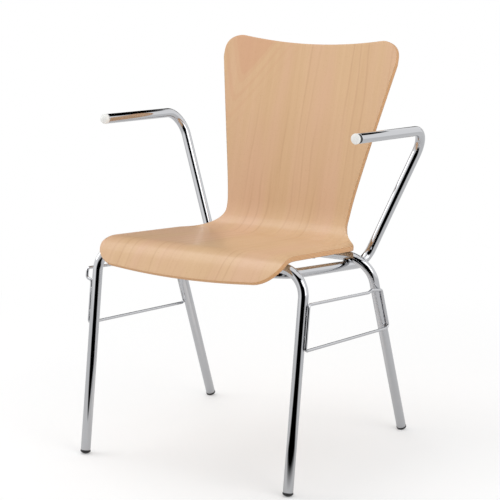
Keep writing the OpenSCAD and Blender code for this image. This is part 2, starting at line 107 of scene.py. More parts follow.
class Graph:
    """A node tree that is written as expressions."""

    def __init__(self, tree: bpy.types.NodeTree) -> None:
        """Takes over the tree of a material or a world, and empties it."""
        self.tree = tree
        tree.nodes.clear()

    def node(
        self,
        kind: str,
        settings: dict[str, object] | None = None,
        sockets: dict[int | str, object] | None = None,
        out: int | str = 0,
    ) -> Signal:
        """Adds any node.

        Args:
            kind: the node's type.
            settings: its properties, such as a Math node's operation, which are set first.
            sockets: the value or the signal of each input that is set.
            out: the output to give.

        Returns:
            The chosen output.
        """
        made = self.tree.nodes.new(kind)
        for name, value in (settings or {}).items():
            setattr(made, name, value)
        for name, value in (sockets or {}).items():
            if isinstance(value, Signal):
                self.tree.links.new(value.socket, made.inputs[name])
            else:
                made.inputs[name].default_value = value
        return Signal(self, made.outputs[out])

    def math(self, operation: str, *values: Value) -> Signal:
        """Adds a Math node on values, in their order."""
        return self.node("ShaderNodeMath", {"operation": operation}, dict(enumerate(values)))

    def vector(self, operation: str, *values: Signal | Sequence[float], out: str = "Vector") -> Signal:
        """Adds a Vector Math node on values, in their order, and gives the output asked for."""
        return self.node("ShaderNodeVectorMath", {"operation": operation}, dict(enumerate(values)), out)

    def blend(self, share: Value, low: Signal | Colour, high: Signal | Colour) -> Signal:
        """Mixes two colours, by the share of the second one."""
        settings = {"data_type": "RGBA", "clamp_factor": True}
        return self.node("ShaderNodeMix", settings, {0: share, 6: low, 7: high}, 2)

    def parts(self, vector: Signal, count: int = 3) -> list[Signal]:
        """Splits a vector, and gives as many of its parts as are asked for."""
        first = self.node("ShaderNodeSeparateXYZ", None, {0: vector})
        return [Signal(self, first.socket.node.outputs[index]) for index in range(count)]

    def stretched(self, place: Signal, scale: Stretch) -> Signal:
        """Scales coordinates, by a pattern's units in a metre along each axis."""
        return self.node("ShaderNodeMapping", None, {"Vector": place, "Scale": scale})

    def noise(self, place: Signal, scale: float = 1.0, detail: float = 2.0, rough: float = 0.5) -> Signal:
        """Adds a noise about 0.5, with finer layers by its detail, as strong as rough says."""
        sockets = {"Vector": place, "Scale": scale, "Detail": detail, "Roughness": rough}
        return self.node("ShaderNodeTexNoise", None, sockets)

    def seen_rays(self) -> Signal:
        """Finds the rays that show a surface to the eye, in metal or through glass too.

        Returns:
            1 on those rays, and 0 on all others.
        """
        first = self.node("ShaderNodeLightPath", None, None, "Is Camera Ray")
        outputs = first.socket.node.outputs
        glossy, through = (Signal(self, outputs[f"Is {kind} Ray"]) for kind in ("Glossy", "Transmission"))
        return self.math("MAXIMUM", first, self.math("MAXIMUM", glossy, through))

    def bump(self, height: Signal, depth: float) -> Signal:
        """Turns a height from 0 to 1 into a normal, for a relief as deep as depth, in metres."""
        return self.node("ShaderNodeBump", None, {"Strength": 1.0, "Distance": depth, "Height": height})

    def surface(self, **sockets: object) -> None:
        """Ends the tree in a Principled surface.

        Args:
            **sockets: its inputs, with _ for each space in their names.
        """
        named = {name.replace("_", " "): value for name, value in sockets.items()}
        shader = self.node("ShaderNodeBsdfPrincipled", None, named)
        self.node_end("ShaderNodeOutputMaterial", shader)

    def node_end(self, kind: str, shader: Signal) -> None:
        """Joins a shader to an output node of the kind that the tree needs."""
        end = self.tree.nodes.new(kind)
        self.tree.links.new(shader.socket, end.inputs["Surface"])


def rgb(red: float, green: float, blue: float) -> Colour:
    """Gives a shader's colour from a colour as it looks on a screen.

    Args:
        red: red, from 0 to 255.
        green: green, from 0 to 255.
        blue: blue, from 0 to 255.

    Returns:
        The linear colour, with full alpha.
    """
    screen = (channel / 255 for channel in (red, green, blue))
    linear = [c / 12.92 if c <= 0.04045 else ((c + 0.055) / 1.055) ** 2.4 for c in screen]
    return (linear[0], linear[1], linear[2], 1.0)


@dataclass(frozen=True)
class Pattern:
    """A stretched noise that a finish is drawn with.

    Attributes:
        stretch: how many of its units fit in a metre, along each axis.
        detail: how many finer layers it has.
        rough: how strong those layers are.
        rise: the values between which it rises from 0 to 1, where it serves as a mask.
    """

    stretch: Stretch
    detail: float = 1.0
    rough: float = 0.5
    rise: Point | None = None

    def on(self, graph: Graph, place: Signal) -> Signal:
        """Draws the pattern at a place, about 0.5 or as a mask."""
        drawn = graph.noise(graph.stretched(place, self.stretch), detail=self.detail, rough=self.rough)
        return drawn if self.rise is None else drawn.ramp(*self.rise)


# ----------------------------------------------------------------------------------------------
# Finishes
# ----------------------------------------------------------------------------------------------


@dataclass(frozen=True)
class Finish:
    """A surface finish.

    Attributes:
        name: the material's name.
    """

    name: str

    def material(self) -> bpy.types.Material:
        """Makes the finish's material on its first use.

        Returns:
            The material.
        """
        made = bpy.data.materials.get(self.name)
        if made is None:
            made = bpy.data.materials.new(self.name)
            made.use_nodes = True
            self.write(Graph(made.node_tree))
        return made

    def write(self, graph: Graph) -> None:
        """Writes the material's nodes into its empty tree."""
        raise NotImplementedError


@dataclass(frozen=True)
class ArchedFigure:
    """The arches round a rosy heart, where the leaf was cut beside the middle of the log.

    Attributes:
        colour: the colour of its heart and its arches.
        tip: the tip of its heart, across and along the sheet.
        lean: how far its axis leans, across for each metre along.
        slope: how fast it opens, across for each metre along.
        pitch: the distance between two arches.
        waver: the pattern in which its axis wavers.
        waver_width: how far it wavers, across.
        tip_round: the square of the radius that rounds its tip.
        heart_edge: the distances between which its heart fades out.
        arch_edge: the values between which a wave rises to an arch.
        reach: the distances between which its arches fade out.
        heart_share: how strong its heart is.
        arch_share: how strong its arches are.
    """

    colour: Colour = rgb(206, 154, 122)
    tip: Point = (-0.159, 0.709)
    lean: float = 0.2
    slope: float = 0.5
    pitch: float = 0.021
    waver: Pattern = Pattern((8.0, 1.5, 1.0))
    waver_width: float = 0.025
    tip_round: float = 0.00006
    heart_edge: Point = (-0.003, 0.005)
    arch_edge: Point = (-0.1, 0.95)
    reach: Point = (0.02, 0.1)
    heart_share: float = 0.5
    arch_share: float = 0.24

    def spread(self, graph: Graph, place: Signal) -> Signal:
        """Gives how far a place lies outside the heart.

        Args:
            graph: the material's tree.
            place: the place on the sheet.

        Returns:
            The distance across the sheet, below 0 inside the heart.
        """
        across, along = graph.parts(place, 2)
        waver = self.waver.on(graph, place) - 0.5
        above = along - self.tip[1]
        side = across - self.tip[0] - above * self.lean + waver * self.waver_width
        return graph.math("SQRT", side * side + self.tip_round) - above * self.slope

    def draw(self, graph: Graph, spread: Signal, wood: Signal) -> Signal:
        """Draws the heart and the arches round it.

        Args:
            graph: the material's tree.
            spread: the distance from the heart.
            wood: the wood's colour.

        Returns:
            The colour with the figure.
        """
        heart = 1.0 - spread.ramp(*self.heart_edge)
        arches = (spread * (2 * math.pi / self.pitch)).sine().ramp(*self.arch_edge)
        reach = 1.0 - spread.ramp(*self.reach)
        shown = graph.math("MAXIMUM", heart * self.heart_share, arches * reach * self.arch_share)
        return graph.blend(shown, wood, self.colour)


@dataclass(frozen=True)
class GrowthLines:
    """Thin lines that sway and fade along the sheet, clear of the arched figure.

    Attributes:
        colour: their colour.
        pitch: the mean distance between two lines.
        sway: the pattern in which they sway.
        sway_width: how far they sway, across.
        shown: the pattern in which they show.
        clear: the distances from the figure's heart between which they fade in.
        edge: the values between which a wave rises to a line.
        share: how strong they are.
    """

    colour: Colour = rgb(186, 138, 106)
    pitch: float = 0.019
    sway: Pattern = Pattern((7.0, 2.4, 1.0), detail=2.0)
    sway_width: float = 0.05
    shown: Pattern = Pattern((17.0, 2.0, 1.0), rise=(0.42, 0.62))
    clear: Point = (0.05, 0.11)
    edge: Point = (0.66, 1.0)
    share: float = 0.28

    def draw(self, graph: Graph, place: Signal, spread: Signal, wood: Signal) -> Signal:
        """Draws the lines.

        Args:
            graph: the material's tree.
            place: the place on the sheet.
            spread: its distance from the figure's heart.
            wood: the wood's colour.

        Returns:
            The colour with the lines.
        """
        (across,) = graph.parts(place, 1)
        sway = self.sway.on(graph, place) - 0.5
        turns = (across + sway * self.sway_width) * (2 * math.pi / self.pitch)
        shown = self.shown.on(graph, place) * spread.ramp(*self.clear)
        return graph.blend(turns.sine().ramp(*self.edge) * shown * self.share, wood, self.colour)


@dataclass(frozen=True)
class Veneer(Finish):
    """Beech veneer under satin lacquer. Its map runs across and along the shell, in metres.

    Attributes:
        light: the pale early wood.
        dark: the darker late wood.
        rose: the rosy leaves that lie between the yellow ones.
        fleck: the short rays that mark beech.
        pores: the pattern of the pores.
        rays: the pattern of the rays.
        leaves: the pattern of the broad tones.
        streaks: the pattern of the fine streaks.
        rosy: the pattern of the rosy leaves.
        figure: the arched figure.
        lines: the growth lines.
        relief: how deep the pores and the rays are, in metres.
    """

    light: Colour = rgb(224, 191, 152)
    dark: Colour = rgb(198, 157, 116)
    rose: Colour = rgb(216, 173, 146)
    fleck: Colour = rgb(178, 134, 94)
    pores: Pattern = Pattern((900.0, 22.0, 1.0))
    rays: Pattern = Pattern((1300.0, 190.0, 1.0), rise=(0.64, 0.74))
    leaves: Pattern = Pattern((24.0, 0.7, 1.0))
    streaks: Pattern = Pattern((95.0, 1.4, 1.0), detail=3.0, rough=0.6)
    rosy: Pattern = Pattern((11.0, 1.6, 1.0), detail=2.0, rise=(0.42, 0.64))
    figure: ArchedFigure = ArchedFigure()
    lines: GrowthLines = GrowthLines()
    relief: float = 0.00005

    def write(self, graph: Graph) -> None:
        """Writes the grain, its figure and lines, the flecks and the lacquer.

        Args:
            graph: the material's empty tree.
        """
        place = graph.node("ShaderNodeUVMap", {"uv_map": SHEET_MAP})
        pores = self.pores.on(graph, place)
        rays = self.rays.on(graph, place)
        spread = self.figure.spread(graph, place)
        wood = self._leaves(graph, place, pores)
        wood = self.lines.draw(graph, place, spread, wood)
        wood = self.figure.draw(graph, spread, wood)
        worn = graph.noise(place, 14.0, 2.0)
        graph.surface(
            Base_Color=graph.blend(rays * 0.4, wood, self.fleck),
            Roughness=worn * 0.1 + pores * 0.08 + 0.36,
            Specular_IOR_Level=0.25,
            Coat_Weight=0.27,
            Coat_Roughness=0.2,
            Normal=graph.bump(pores * 0.6 + rays * 0.4, self.relief),
        )

    def _leaves(self, graph: Graph, place: Signal, pores: Signal) -> Signal:
        """Gives the wood's broad tones and fine streaks.

        Args:
            graph: the material's tree.
            place: the place on the sheet.
            pores: the drawn pores.

        Returns:
            The wood's colour.
        """
        leaves = self.leaves.on(graph, place)
        tone = leaves * 0.35 + self.streaks.on(graph, place) * 0.45 + pores * 0.2
        plain = graph.blend(tone, self.light, self.dark)
        return graph.blend(self.rosy.on(graph, place) * 0.45, plain, self.rose)


@dataclass(frozen=True)
class PlyEdge(Finish):
    """The shell's sanded and lacquered edge, where the plies show as layers.

    Attributes:
        light: a ply seen along its grain.
        dark: a ply seen across its grain.
        glue: the line between two plies.
        plies: how many plies there are.
        grain: the pattern of the sanded end grain.
        relief: how deep that grain is, in metres.
    """

    light: Colour = rgb(214, 166, 114)
    dark: Colour = rgb(188, 136, 88)
    glue: Colour = rgb(136, 90, 56)
    plies: int = 7
    grain: Pattern = Pattern((160.0, 160.0, 1.0), detail=3.0)
    relief: float = 0.00008

    def write(self, graph: Graph) -> None:
        """Writes the layers, from the depth below the sitting face.

        Args:
            graph: the material's empty tree.
        """
        depth = graph.node("ShaderNodeAttribute", {"attribute_name": DEPTH_NOTE}, None, "Fac")
        place = graph.node("ShaderNodeUVMap", {"uv_map": SHEET_MAP})
        count = depth * float(self.plies)
        layer = (count * math.pi).sine()
        crossed = (count * math.pi + math.pi / 2).sine().ramp(-0.2, 0.2)
        line = 1.0 - graph.math("ABSOLUTE", layer).ramp(0.06, 0.3)
        grain = self.grain.on(graph, place)
        plies = graph.blend(crossed * 0.7 + grain * 0.3, self.light, self.dark)
        graph.surface(
            Base_Color=graph.blend(line * 0.6, plies, self.glue),
            Roughness=grain * 0.15 + 0.35,
            Coat_Weight=0.15,
            Coat_Roughness=0.3,
            Normal=graph.bump(grain, self.relief),
        )


@dataclass(frozen=True)
class Chrome(Finish):
    """Bright chromium plate.

    Attributes:
        tint: the metal's colour.
        haze: how dull its cleanest places are.
        smear_haze: how much duller its smeared places are.
        ripple: how deep its waves are, in metres.
        ripple_scale: how many waves fit in a metre.
    """

    tint: Colour = rgb(203, 204, 207)
    haze: float = 0.045
    smear_haze: float = 0.05
    ripple: float = 0.0
    ripple_scale: float = 25.0

    def write(self, graph: Graph) -> None:
        """Writes the plate, with faint smears, and waves where it has them.

        Args:
            graph: the material's empty tree.
        """
        place = graph.node("ShaderNodeTexCoord", None, None, "Object")
        smear = graph.noise(place, 16.0, 3.0)
        sockets = {"Base_Color": self.tint, "Metallic": 1.0}
        sockets["Roughness"] = smear.ramp(0.45, 0.8) * self.smear_haze + self.haze
        if self.ripple > 0:
            waves = graph.noise(place, self.ripple_scale, 1.0)
            sockets["Normal"] = graph.bump(waves, self.ripple)
        graph.surface(**sockets)


@dataclass(frozen=True)
class Moulded(Finish):
    """Moulded plastic with a fine mould texture.

    Attributes:
        colour: its colour.
        rough: its mean roughness.
        grain: how deep the mould texture is, in metres.
        scuff: the colour of its scuffed places.
        scuffs: the pattern of those places.
        mottle: how much its roughness varies.
    """

    colour: Colour = rgb(30, 30, 30)
    rough: float = 0.45
    grain: float = 0.00004
    scuff: Colour = rgb(60, 60, 60)
    scuffs: Pattern = Pattern((420.0, 420.0, 120.0), detail=3.0, rise=(0.6, 0.8))
    mottle: float = 0.14

    def write(self, graph: Graph) -> None:
        """Writes the plastic, with a mottled gloss and a few scuffs.

        Args:
            graph: the material's empty tree.
        """
        place = graph.node("ShaderNodeTexCoord", None, None, "Object")
        texture = graph.noise(place, 2200.0, 1.0)
        mottle = graph.noise(place, 90.0, 3.0)
        graph.surface(
            Base_Color=graph.blend(self.scuffs.on(graph, place) * 0.35, self.colour, self.scuff),
            Roughness=mottle * self.mottle + (self.rough - self.mottle / 2),
            Specular_IOR_Level=0.5,
            Normal=graph.bump(texture, self.grain),
        )


@dataclass(frozen=True)
class TurnedMetal(Finish):
    """Plated or bare small metalwork with fine turning marks.

    Attributes:
        colour: the metal's colour.
        rough: its mean roughness.
        mottle: how much its roughness varies.
        relief: how deep its marks are, in metres.
    """

    colour: Colour = rgb(198, 200, 203)
    rough: float = 0.26
    mottle: float = 0.16
    relief: float = 0.00002

    def write(self, graph: Graph) -> None:
        """Writes the metal, with a mottled plate.

        Args:
            graph: the material's empty tree.
        """
        place = graph.node("ShaderNodeTexCoord", None, None, "Object")
        mottle = graph.noise(place, 320.0, 3.0)
        graph.surface(
            Base_Color=self.colour,
            Metallic=1.0,
            Roughness=mottle * self.mottle + (self.rough - self.mottle / 2),
            Normal=graph.bump(mottle, self.relief),
        )


VENEER = Veneer("beech_veneer_lacquered")
PLY_EDGE = PlyEdge("ply_edge")
CHROME_TUBE = Chrome("bright_tube_chrome")
CHROME_WIRE = Chrome("bright_wire_chrome", haze=0.07)
CHROME_WELD = Chrome("bead_chrome", haze=0.1, ripple=0.0004, ripple_scale=420.0)
# Black plastic of the feet; the arm caps also wear it as a band of painted shade.
BLACK_FOOT_AND_SHADE_BAND = Moulded("black_foot_and_shade_band")
WHITE_CAP = Moulded(
    "white_cap", rgb(232, 232, 229), rough=0.32, grain=0.00001, scuff=rgb(222, 222, 218)
)
GREY_PAD = Moulded("grey_pad", rgb(84, 84, 86), rough=0.5, scuff=rgb(120, 120, 120))
ZINC = TurnedMetal("zinc_plate")
BRASS = TurnedMetal("insert_brass", rgb(196, 158, 92), rough=0.3)


# ----------------------------------------------------------------------------------------------
# Modelling
# ----------------------------------------------------------------------------------------------


class Bench:
    """Blender's modelling operators, as a maker uses them."""

    @staticmethod
    def clear() -> None:
        """Deselects every object."""
        bpy.ops.object.select_all(action="DESELECT")

    @staticmethod
    def take(piece: bpy.types.Object) -> None:
        """Selects one object alone and makes it the active one.

        Args:
            piece: the object to select.
        """
        Bench.clear()
        piece.select_set(True)
        bpy.context.view_layer.objects.active = piece

    @staticmethod
    @contextmanager
    def editing(piece: bpy.types.Object) -> Iterator[None]:
        """Opens a piece in edit mode, with all of it selected.

        Args:
            piece: the mesh object to edit.

        Yields:
            Nothing, while the piece is open.
        """
        Bench.take(piece)
        bpy.ops.object.mode_set(mode="EDIT")
        bpy.ops.mesh.select_mode(type="VERT")
        bpy.ops.mesh.select_all(action="SELECT")
        yield
        bpy.ops.object.mode_set(mode="OBJECT")

    @staticmethod
    def started(name: str) -> bpy.types.Object:
        """Names the primitive just added and puts its place into its mesh.

        Args:
            name: the piece's name.

        Returns:
            The piece.
        """
        piece = bpy.context.object
        piece.name = piece.data.name = name
        Bench.take(piece)
        bpy.ops.object.transform_apply(location=True, rotation=True, scale=True)
        return piece

    @staticmethod
    def apply(piece: bpy.types.Object, kind: str, **settings: object) -> None:
        """Adds a modifier and applies it.

        Args:
            piece: the piece to change.
            kind: the modifier's type.
            **settings: the modifier's settings.
        """
        Bench.take(piece)
        modifier = piece.modifiers.new(kind.title(), kind)
        for name, value in settings.items():
            setattr(modifier, name, value)
        bpy.ops.object.modifier_apply(modifier=modifier.name)

    @staticmethod
    def smooth(piece: bpy.types.Object, degrees: float = 35.0) -> None:
        """Shades a piece smooth, apart from the edges sharper than an angle in degrees."""
        Bench.take(piece)
        bpy.ops.object.shade_smooth_by_angle(angle=math.radians(degrees))

    @staticmethod
    def pick(piece: bpy.types.Object, wanted: Callable[[Vector], bool]) -> None:
        """Selects vertices by their place, and the edges between them.

        Args:
            piece: the piece, open in edit mode.
            wanted: a rule that tells whether a vertex at a place is selected.
        """
        bpy.ops.mesh.select_all(action="DESELECT")
        bpy.ops.object.mode_set(mode="OBJECT")
        for vertex in piece.data.vertices:
            vertex.select = wanted(vertex.co)
        for edge in piece.data.edges:
            edge.select = all(piece.data.vertices[v].select for v in edge.vertices)
        bpy.ops.object.mode_set(mode="EDIT")

    @staticmethod
    def face_outwards() -> None:
        """Turns every face of the piece in edit mode outwards."""
        bpy.ops.mesh.select_all(action="SELECT")
        bpy.ops.mesh.normals_make_consistent(inside=False)

    @staticmethod
    def move_on(step: Vector) -> None:
        """Extrudes the selected ring by a step."""
        bpy.ops.mesh.extrude_region_move(TRANSFORM_OT_translate={"value": tuple(step)})

    @staticmethod
    def copy_of(node: str, name: str) -> bpy.types.Object:
        """Copies a node's solid as one merged mesh.

        Args:
            node: the node to copy.
            name: the copy's name.

        Returns:
            The copy.
        """
        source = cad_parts[node]
        piece = bpy.data.objects.new(name, source.data.copy())
        piece.data.name = name
        piece.data.materials.clear()
        bpy.context.scene.collection.objects.link(piece)
        with Bench.editing(piece):
            bpy.ops.mesh.remove_doubles(threshold=1e-6)
        Bench.smooth(piece)
        return piece

    @staticmethod
    def hand_over(piece: bpy.types.Object, slot: str, finishes: Sequence[Finish], node: str) -> None:
        """Gives a finished piece its finishes and its place in the chair.

        Args:
            piece: the finished piece.
            slot: the record's material slot; not used.
            finishes: one finish for each of its material slots.
            node: the node that it stands for.
        """
        slots = piece.data.materials
        for index, finish in enumerate(finishes):
            if index < len(slots):
                slots[index] = finish.material()
            else:
                slots.append(finish.material())
        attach(piece, "root")
        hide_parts(node)
        LOG.info("%s: %d faces", piece.name, len(piece.data.polygons))


@dataclass(frozen=True)
class Route:
    """A bent tube's centre line.

    Attributes:
        corners: the points that it runs between, in metres.
        bends: the bend radius at each point, 0 at a free end.
    """

    corners: tuple[Vector, ...]
    bends: tuple[float, ...]

    @property
    def is_loop(self) -> bool:
        """Tells whether the tube closes on itself."""
        return self.bends[0] > 0

    def corner(self, index: int) -> Vector:
        """Gives a corner, counted round the loop."""
        return self.corners[index % len(self.corners)]

    def way(self, index: int) -> Vector:
        """Gives the direction from one corner to the next."""
        return (self.corner(index + 1) - self.corner(index)).normalized()

    def turn(self, index: int) -> float:
        """Gives the angle of the bend at a corner, in radians."""
        return self.way(index - 1).angle(self.way(index))

    def setback(self, index: int) -> float:
        """Gives how far before a corner its bend starts."""
        radius = self.bends[index % len(self.bends)]
        return radius * math.tan(self.turn(index) / 2) if radius > 0 else 0.0


@dataclass
class Tube:
    """A round tube or wire along a route.

    Attributes:
        name: the piece's name.
        route: its centre line.
        radius: its outside radius, in metres.
        bore: its inside radius, 0 for a solid wire.
        roll: the radius that rounds the outer edge of its open ends.
        roll_steps: how many rings make that rounding.
        bore_depth: how deep its open ends are.
        sides: how many faces go round it.
        bend_step: the angle between two rings of a bend, in degrees.
    """

    name: str
    route: Route
    radius: float
    bore: float = 0.0
    roll: float = 0.0
    roll_steps: int = 4
    bore_depth: float = 0.025
    sides: int = 40
    bend_step: float = 5.0

    def build(self) -> bpy.types.Object:
        """Draws a ring along the straights and spins it round the bends.

        Returns:
            The tube, with its ends closed or joined.
        """
        route = self.route
        first, ends = (-1, 0) if route.is_loop else (0, 1)
        start = self._loop_start if route.is_loop else route.corner(0) + self.roll * route.way(0)
        Bench.clear()
        bpy.ops.mesh.primitive_circle_add(
            vertices=self.sides,
            radius=self.radius,
            fill_type="NOTHING",
            location=start,
            rotation=route.way(first).to_track_quat("Z", "Y").to_euler(),
        )
        piece = Bench.started(self.name)
        with Bench.editing(piece):
            here = start
            for index in range(ends, len(route.corners) - ends):
                here = self._bend(here, index)
            if route.is_loop:
                Bench.move_on((start - here) * 0.5)
                bpy.ops.mesh.select_all(action="DESELECT")
                bpy.ops.mesh.select_non_manifold()
                bpy.ops.mesh.bridge_edge_loops()
            else:
                outward = route.way(len(route.corners) - 2)
                Bench.move_on(route.corner(-1) - self.roll * outward - here)
                self._bore_end(outward)
                self._select_ring(piece, start, route.way(0))
                self._bore_end(-route.way(0))
            Bench.face_outwards()
        Bench.smooth(piece)
        return piece

    @property
    def _loop_start(self) -> Vector:
        """The middle of a loop's last straight, where its ring starts."""
        return (self.route.corner(-1) + self.route.corner(0)) / 2

    def _bend(self, here: Vector, index: int) -> Vector:
        """Runs the ring up to a corner's bend and spins it round.

        Args:
            here: the ring's centre.
            index: the corner.

        Returns:
            The ring's new centre.
        """
        route = self.route
        way_in, way_out = route.way(index - 1), route.way(index)
        bend_start = route.corner(index) - route.setback(index) * way_in
        axis = way_in.cross(way_out).normalized()
        centre = bend_start + route.bends[index] * axis.cross(way_in)
        Bench.move_on(bend_start - here)
        angle = route.turn(index)
        steps = max(4, math.ceil(math.degrees(angle) / self.bend_step))
        bpy.ops.mesh.spin(steps=steps, angle=-angle, center=centre, axis=axis)
        return route.corner(index) + route.setback(index) * way_out

    def _select_ring(self, piece: bpy.types.Object, centre: Vector, way: Vector) -> None:
        """Selects the ring at a tube's first end.

        Args:
            piece: the tube, open in edit mode.
            centre: the ring's centre.
            way: the tube's direction there.
        """
        slack = 1e-5
        reach = self.radius + slack
        Bench.pick(
            piece,
            lambda co: abs((co - centre).dot(way)) < slack and (co - centre).length < reach,
        )

    def _bore_end(self, outward: Vector) -> None:
        """Turns the selected end ring into a rounded edge, a tube's wall and a blind bore.

        Args:
            outward: the direction out of the end.
        """
        if self.bore > 0:
            height, radius = 0.0, self.radius
            for step in range(1, self.roll_steps + 1):
                angle = math.pi / 2 * step / self.roll_steps
                next_height = self.roll * math.sin(angle)
                next_radius = self.radius - self.roll * (1 - math.cos(angle))
                Bench.move_on((next_height - height) * outward)
                bpy.ops.transform.resize(value=(next_radius / radius,) * 3)
                height, radius = next_height, next_radius
            bpy.ops.mesh.extrude_region_move()
            bpy.ops.transform.resize(value=(self.bore / radius,) * 3)
            Bench.move_on(-self.bore_depth * outward)
        bpy.ops.mesh.edge_face_add()


@dataclass
class Turning:
    """A piece turned on a lathe, from rings along +Z.

    Attributes:
        name: the piece's name.
        rings: the height and the radius of each ring, in metres, from one end to the other.
        sides: how many faces go round it.
    """

    name: str
    rings: Sequence[Point]
    sides: int = 48

    def build(self, place: Matrix) -> bpy.types.Object:
        """Draws a ring up the axis, sized to each radius, and lays the piece at its place.

        Args:
            place: the turn and the place of the finished piece.

        Returns:
            The piece, with closed ends.
        """
        height, radius = self.rings[0]
        Bench.clear()
        bpy.ops.mesh.primitive_circle_add(
            vertices=self.sides, radius=radius, fill_type="NGON", location=(0, 0, height)
        )
        piece = Bench.started(self.name)
        with Bench.editing(piece):
            for next_height, next_radius in self.rings[1:]:
                Bench.move_on(Vector((0, 0, next_height - height)))
                share = next_radius / radius
                bpy.ops.transform.resize(value=(share, share, 1))
                height, radius = next_height, next_radius
            Bench.face_outwards()
        piece.matrix_world = place
        Bench.take(piece)
        bpy.ops.object.transform_apply(location=True, rotation=True, scale=True)
        return piece


def lathe_place(origin: Vector, towards: Vector) -> Matrix:
    """Gives the placing that puts a turning's origin at a point and its +Z along a direction."""
    return Matrix.Translation(origin) @ towards.to_track_quat("Z", "Y").to_matrix().to_4x4()


# ----------------------------------------------------------------------------------------------
# The chair
# ----------------------------------------------------------------------------------------------


class Side(Enum):
    """A side of the chair, by the sign of its X."""

    LEFT = 1
    RIGHT = -1

    def put(self, point: Vector) -> Vector:
        """Moves a point drawn on the +X side to this side."""
        return Vector((self.value * point.x, point.y, point.z))


def mirrored(points: Sequence[Vector]) -> tuple[Vector, ...]:
    """Continues a route on the other side of the chair, back to the point across from its start."""
    return (*points, *(Side.RIGHT.put(point) for point in reversed(points)))


@dataclass(frozen=True)
class Leg:
    """One leg's centre line, from the floor to its bar's corner.

    Attributes:
        floor: where the line meets the floor.
        top: the bar's corner.
        rim: the radius of the foot's rim.
        dome: the radius of the foot's sole.
        flat: the depth of the flat worn on the sole.
        rim_height: the height of the rim, along the leg.
    """

    floor: Vector
    top: Vector
    rim: float = 0.0104
    dome: float = 0.014
    flat: float = 0.0008
    rim_height: float = 0.0035

    @property
    def way(self) -> Vector:
        """The leg's direction, upwards."""
        return (self.top - self.floor).normalized()

    def at(self, height: float) -> Vector:
        """Gives the line's point at a height."""
        return self.floor.lerp(self.top, height / self.top.z)

    @property
    def dome_centre(self) -> Vector:
        """The centre of the sole's dome."""
        return self.at(self.dome - self.flat)

    @property
    def rim_low(self) -> float:
        """The rim's lower edge, along the leg from the dome's centre."""
        return -math.sqrt(self.dome**2 - self.rim**2)

    @property
    def tube_end(self) -> Vector:
        """The lower end of the leg's tube."""
        return self.dome_centre + (self.rim_low + self.rim_height) * self.way


@dataclass(frozen=True)
class FramePlan:
    """The frame's sizes, in metres, and the places that follow from them.

    Attributes:
        tube: the outside radius of the main tubes.
        bore: their inside radius.
        spine: the outside radius of the spine.
        wire: the radius of the linking wires.
        gap: the gap that a weld fills.
        fit: how much slimmer a plug is than the bore round it.
        chamfer: the chamfer of a plug's end.
        front_leg: the front leg on the +X side.
        rear_leg: the rear leg on the +X side.
        arm_tip: the front end of the arm on the +X side.
        arm_corner: its rear corner.
        rail_x: the distance of the rails from the middle.
        post_foot_y: where a post turns forward into its rail.
    """

    tube: float = 0.010
    bore: float = 0.0085
    spine: float = 0.0075
    wire: float = 0.003
    gap: float = 0.0003
    fit: float = 0.0001
    chamfer: float = 0.001
    front_leg: Leg = Leg(Vector((0.239, -0.255, 0)), Vector((0.239, -0.193, 0.425)))
    rear_leg: Leg = Leg(Vector((0.243, 0.227, 0)), Vector((0.239, 0.071, 0.401)))
    arm_tip: Vector = Vector((0.293, -0.090, 0.666))
    arm_corner: Vector = Vector((0.301, 0.198, 0.652))
    rail_x: float = 0.187
    post_foot_y: float = 0.151

    @property
    def beside(self) -> float:
        """The distance between two tubes' centres, side by side."""
        return 2 * self.tube + self.gap

    @property
    def bar_slope(self) -> float:
        """The slope from the front bar to the rear bar, in radians."""
        rise = self.rear_leg.top - self.front_leg.top
        return math.atan2(rise.z, rise.y)

    @property
    def cross_piece(self) -> Vector:
        """The middle of the cross piece, under the spine and behind the front bar.

        Returns:
            The point.
        """
        tuck = math.acos((2 * self.spine + self.gap) / self.beside) + self.bar_slope
        shift = self.beside * Vector((0, math.sin(tuck), -math.cos(tuck)))
        return Vector((0, self.front_leg.top.y, self.front_leg.top.z)) + shift

    @property
    def rail_corner(self) -> Vector:
        """The corner between the cross piece and the rail on the +X side."""
        return self.cross_piece + Vector((self.rail_x, 0, 0))

    @property
    def post_foot(self) -> Vector:
        """The corner between the post and the rail on the +X side.

        Returns:
            The point.
        """
        under = self.rear_leg.top - self.rail_corner
        reach = math.hypot(under.y, under.z)
        slope = math.atan2(under.z, under.y) - math.asin(self.beside / reach)
        run = self.post_foot_y - self.rail_corner.y
        return self.rail_corner + Vector((0, run, run * math.tan(slope)))

    def plug(self, root: float, end: float) -> list[Point]:
        """Gives the rings of a plug that fills a tube's bore.

        Args:
            root: the height at which it starts.
            end: the height of its chamfered end, above or below the root.

        Returns:
            The height and the radius of each ring, from the root to the end.
        """
        radius = self.bore - self.fit
        chamfer = math.copysign(self.chamfer, end - root)
        return [(root, radius), (end - chamfer, radius), (end, radius - self.chamfer)]


PLAN = FramePlan()


@dataclass
class LegTube:
    """A bent U of tube that makes two legs and a bar.

    Attributes:
        name: the piece's name.
        node: the node that it stands for.
        leg: the leg on the +X side.
        bend: the bend radius.
    """

    name: str
    node: str
    leg: Leg
    bend: float

    def build(self) -> None:
        """Bends the tube and dresses it in chrome."""
        route = Route(mirrored((self.leg.tube_end, self.leg.top)), (0, self.bend, self.bend, 0))
        piece = Tube(self.name, route, PLAN.tube, PLAN.bore, roll=0.0003).build()
        Bench.hand_over(piece, "chrome_tube", [CHROME_TUBE], self.node)


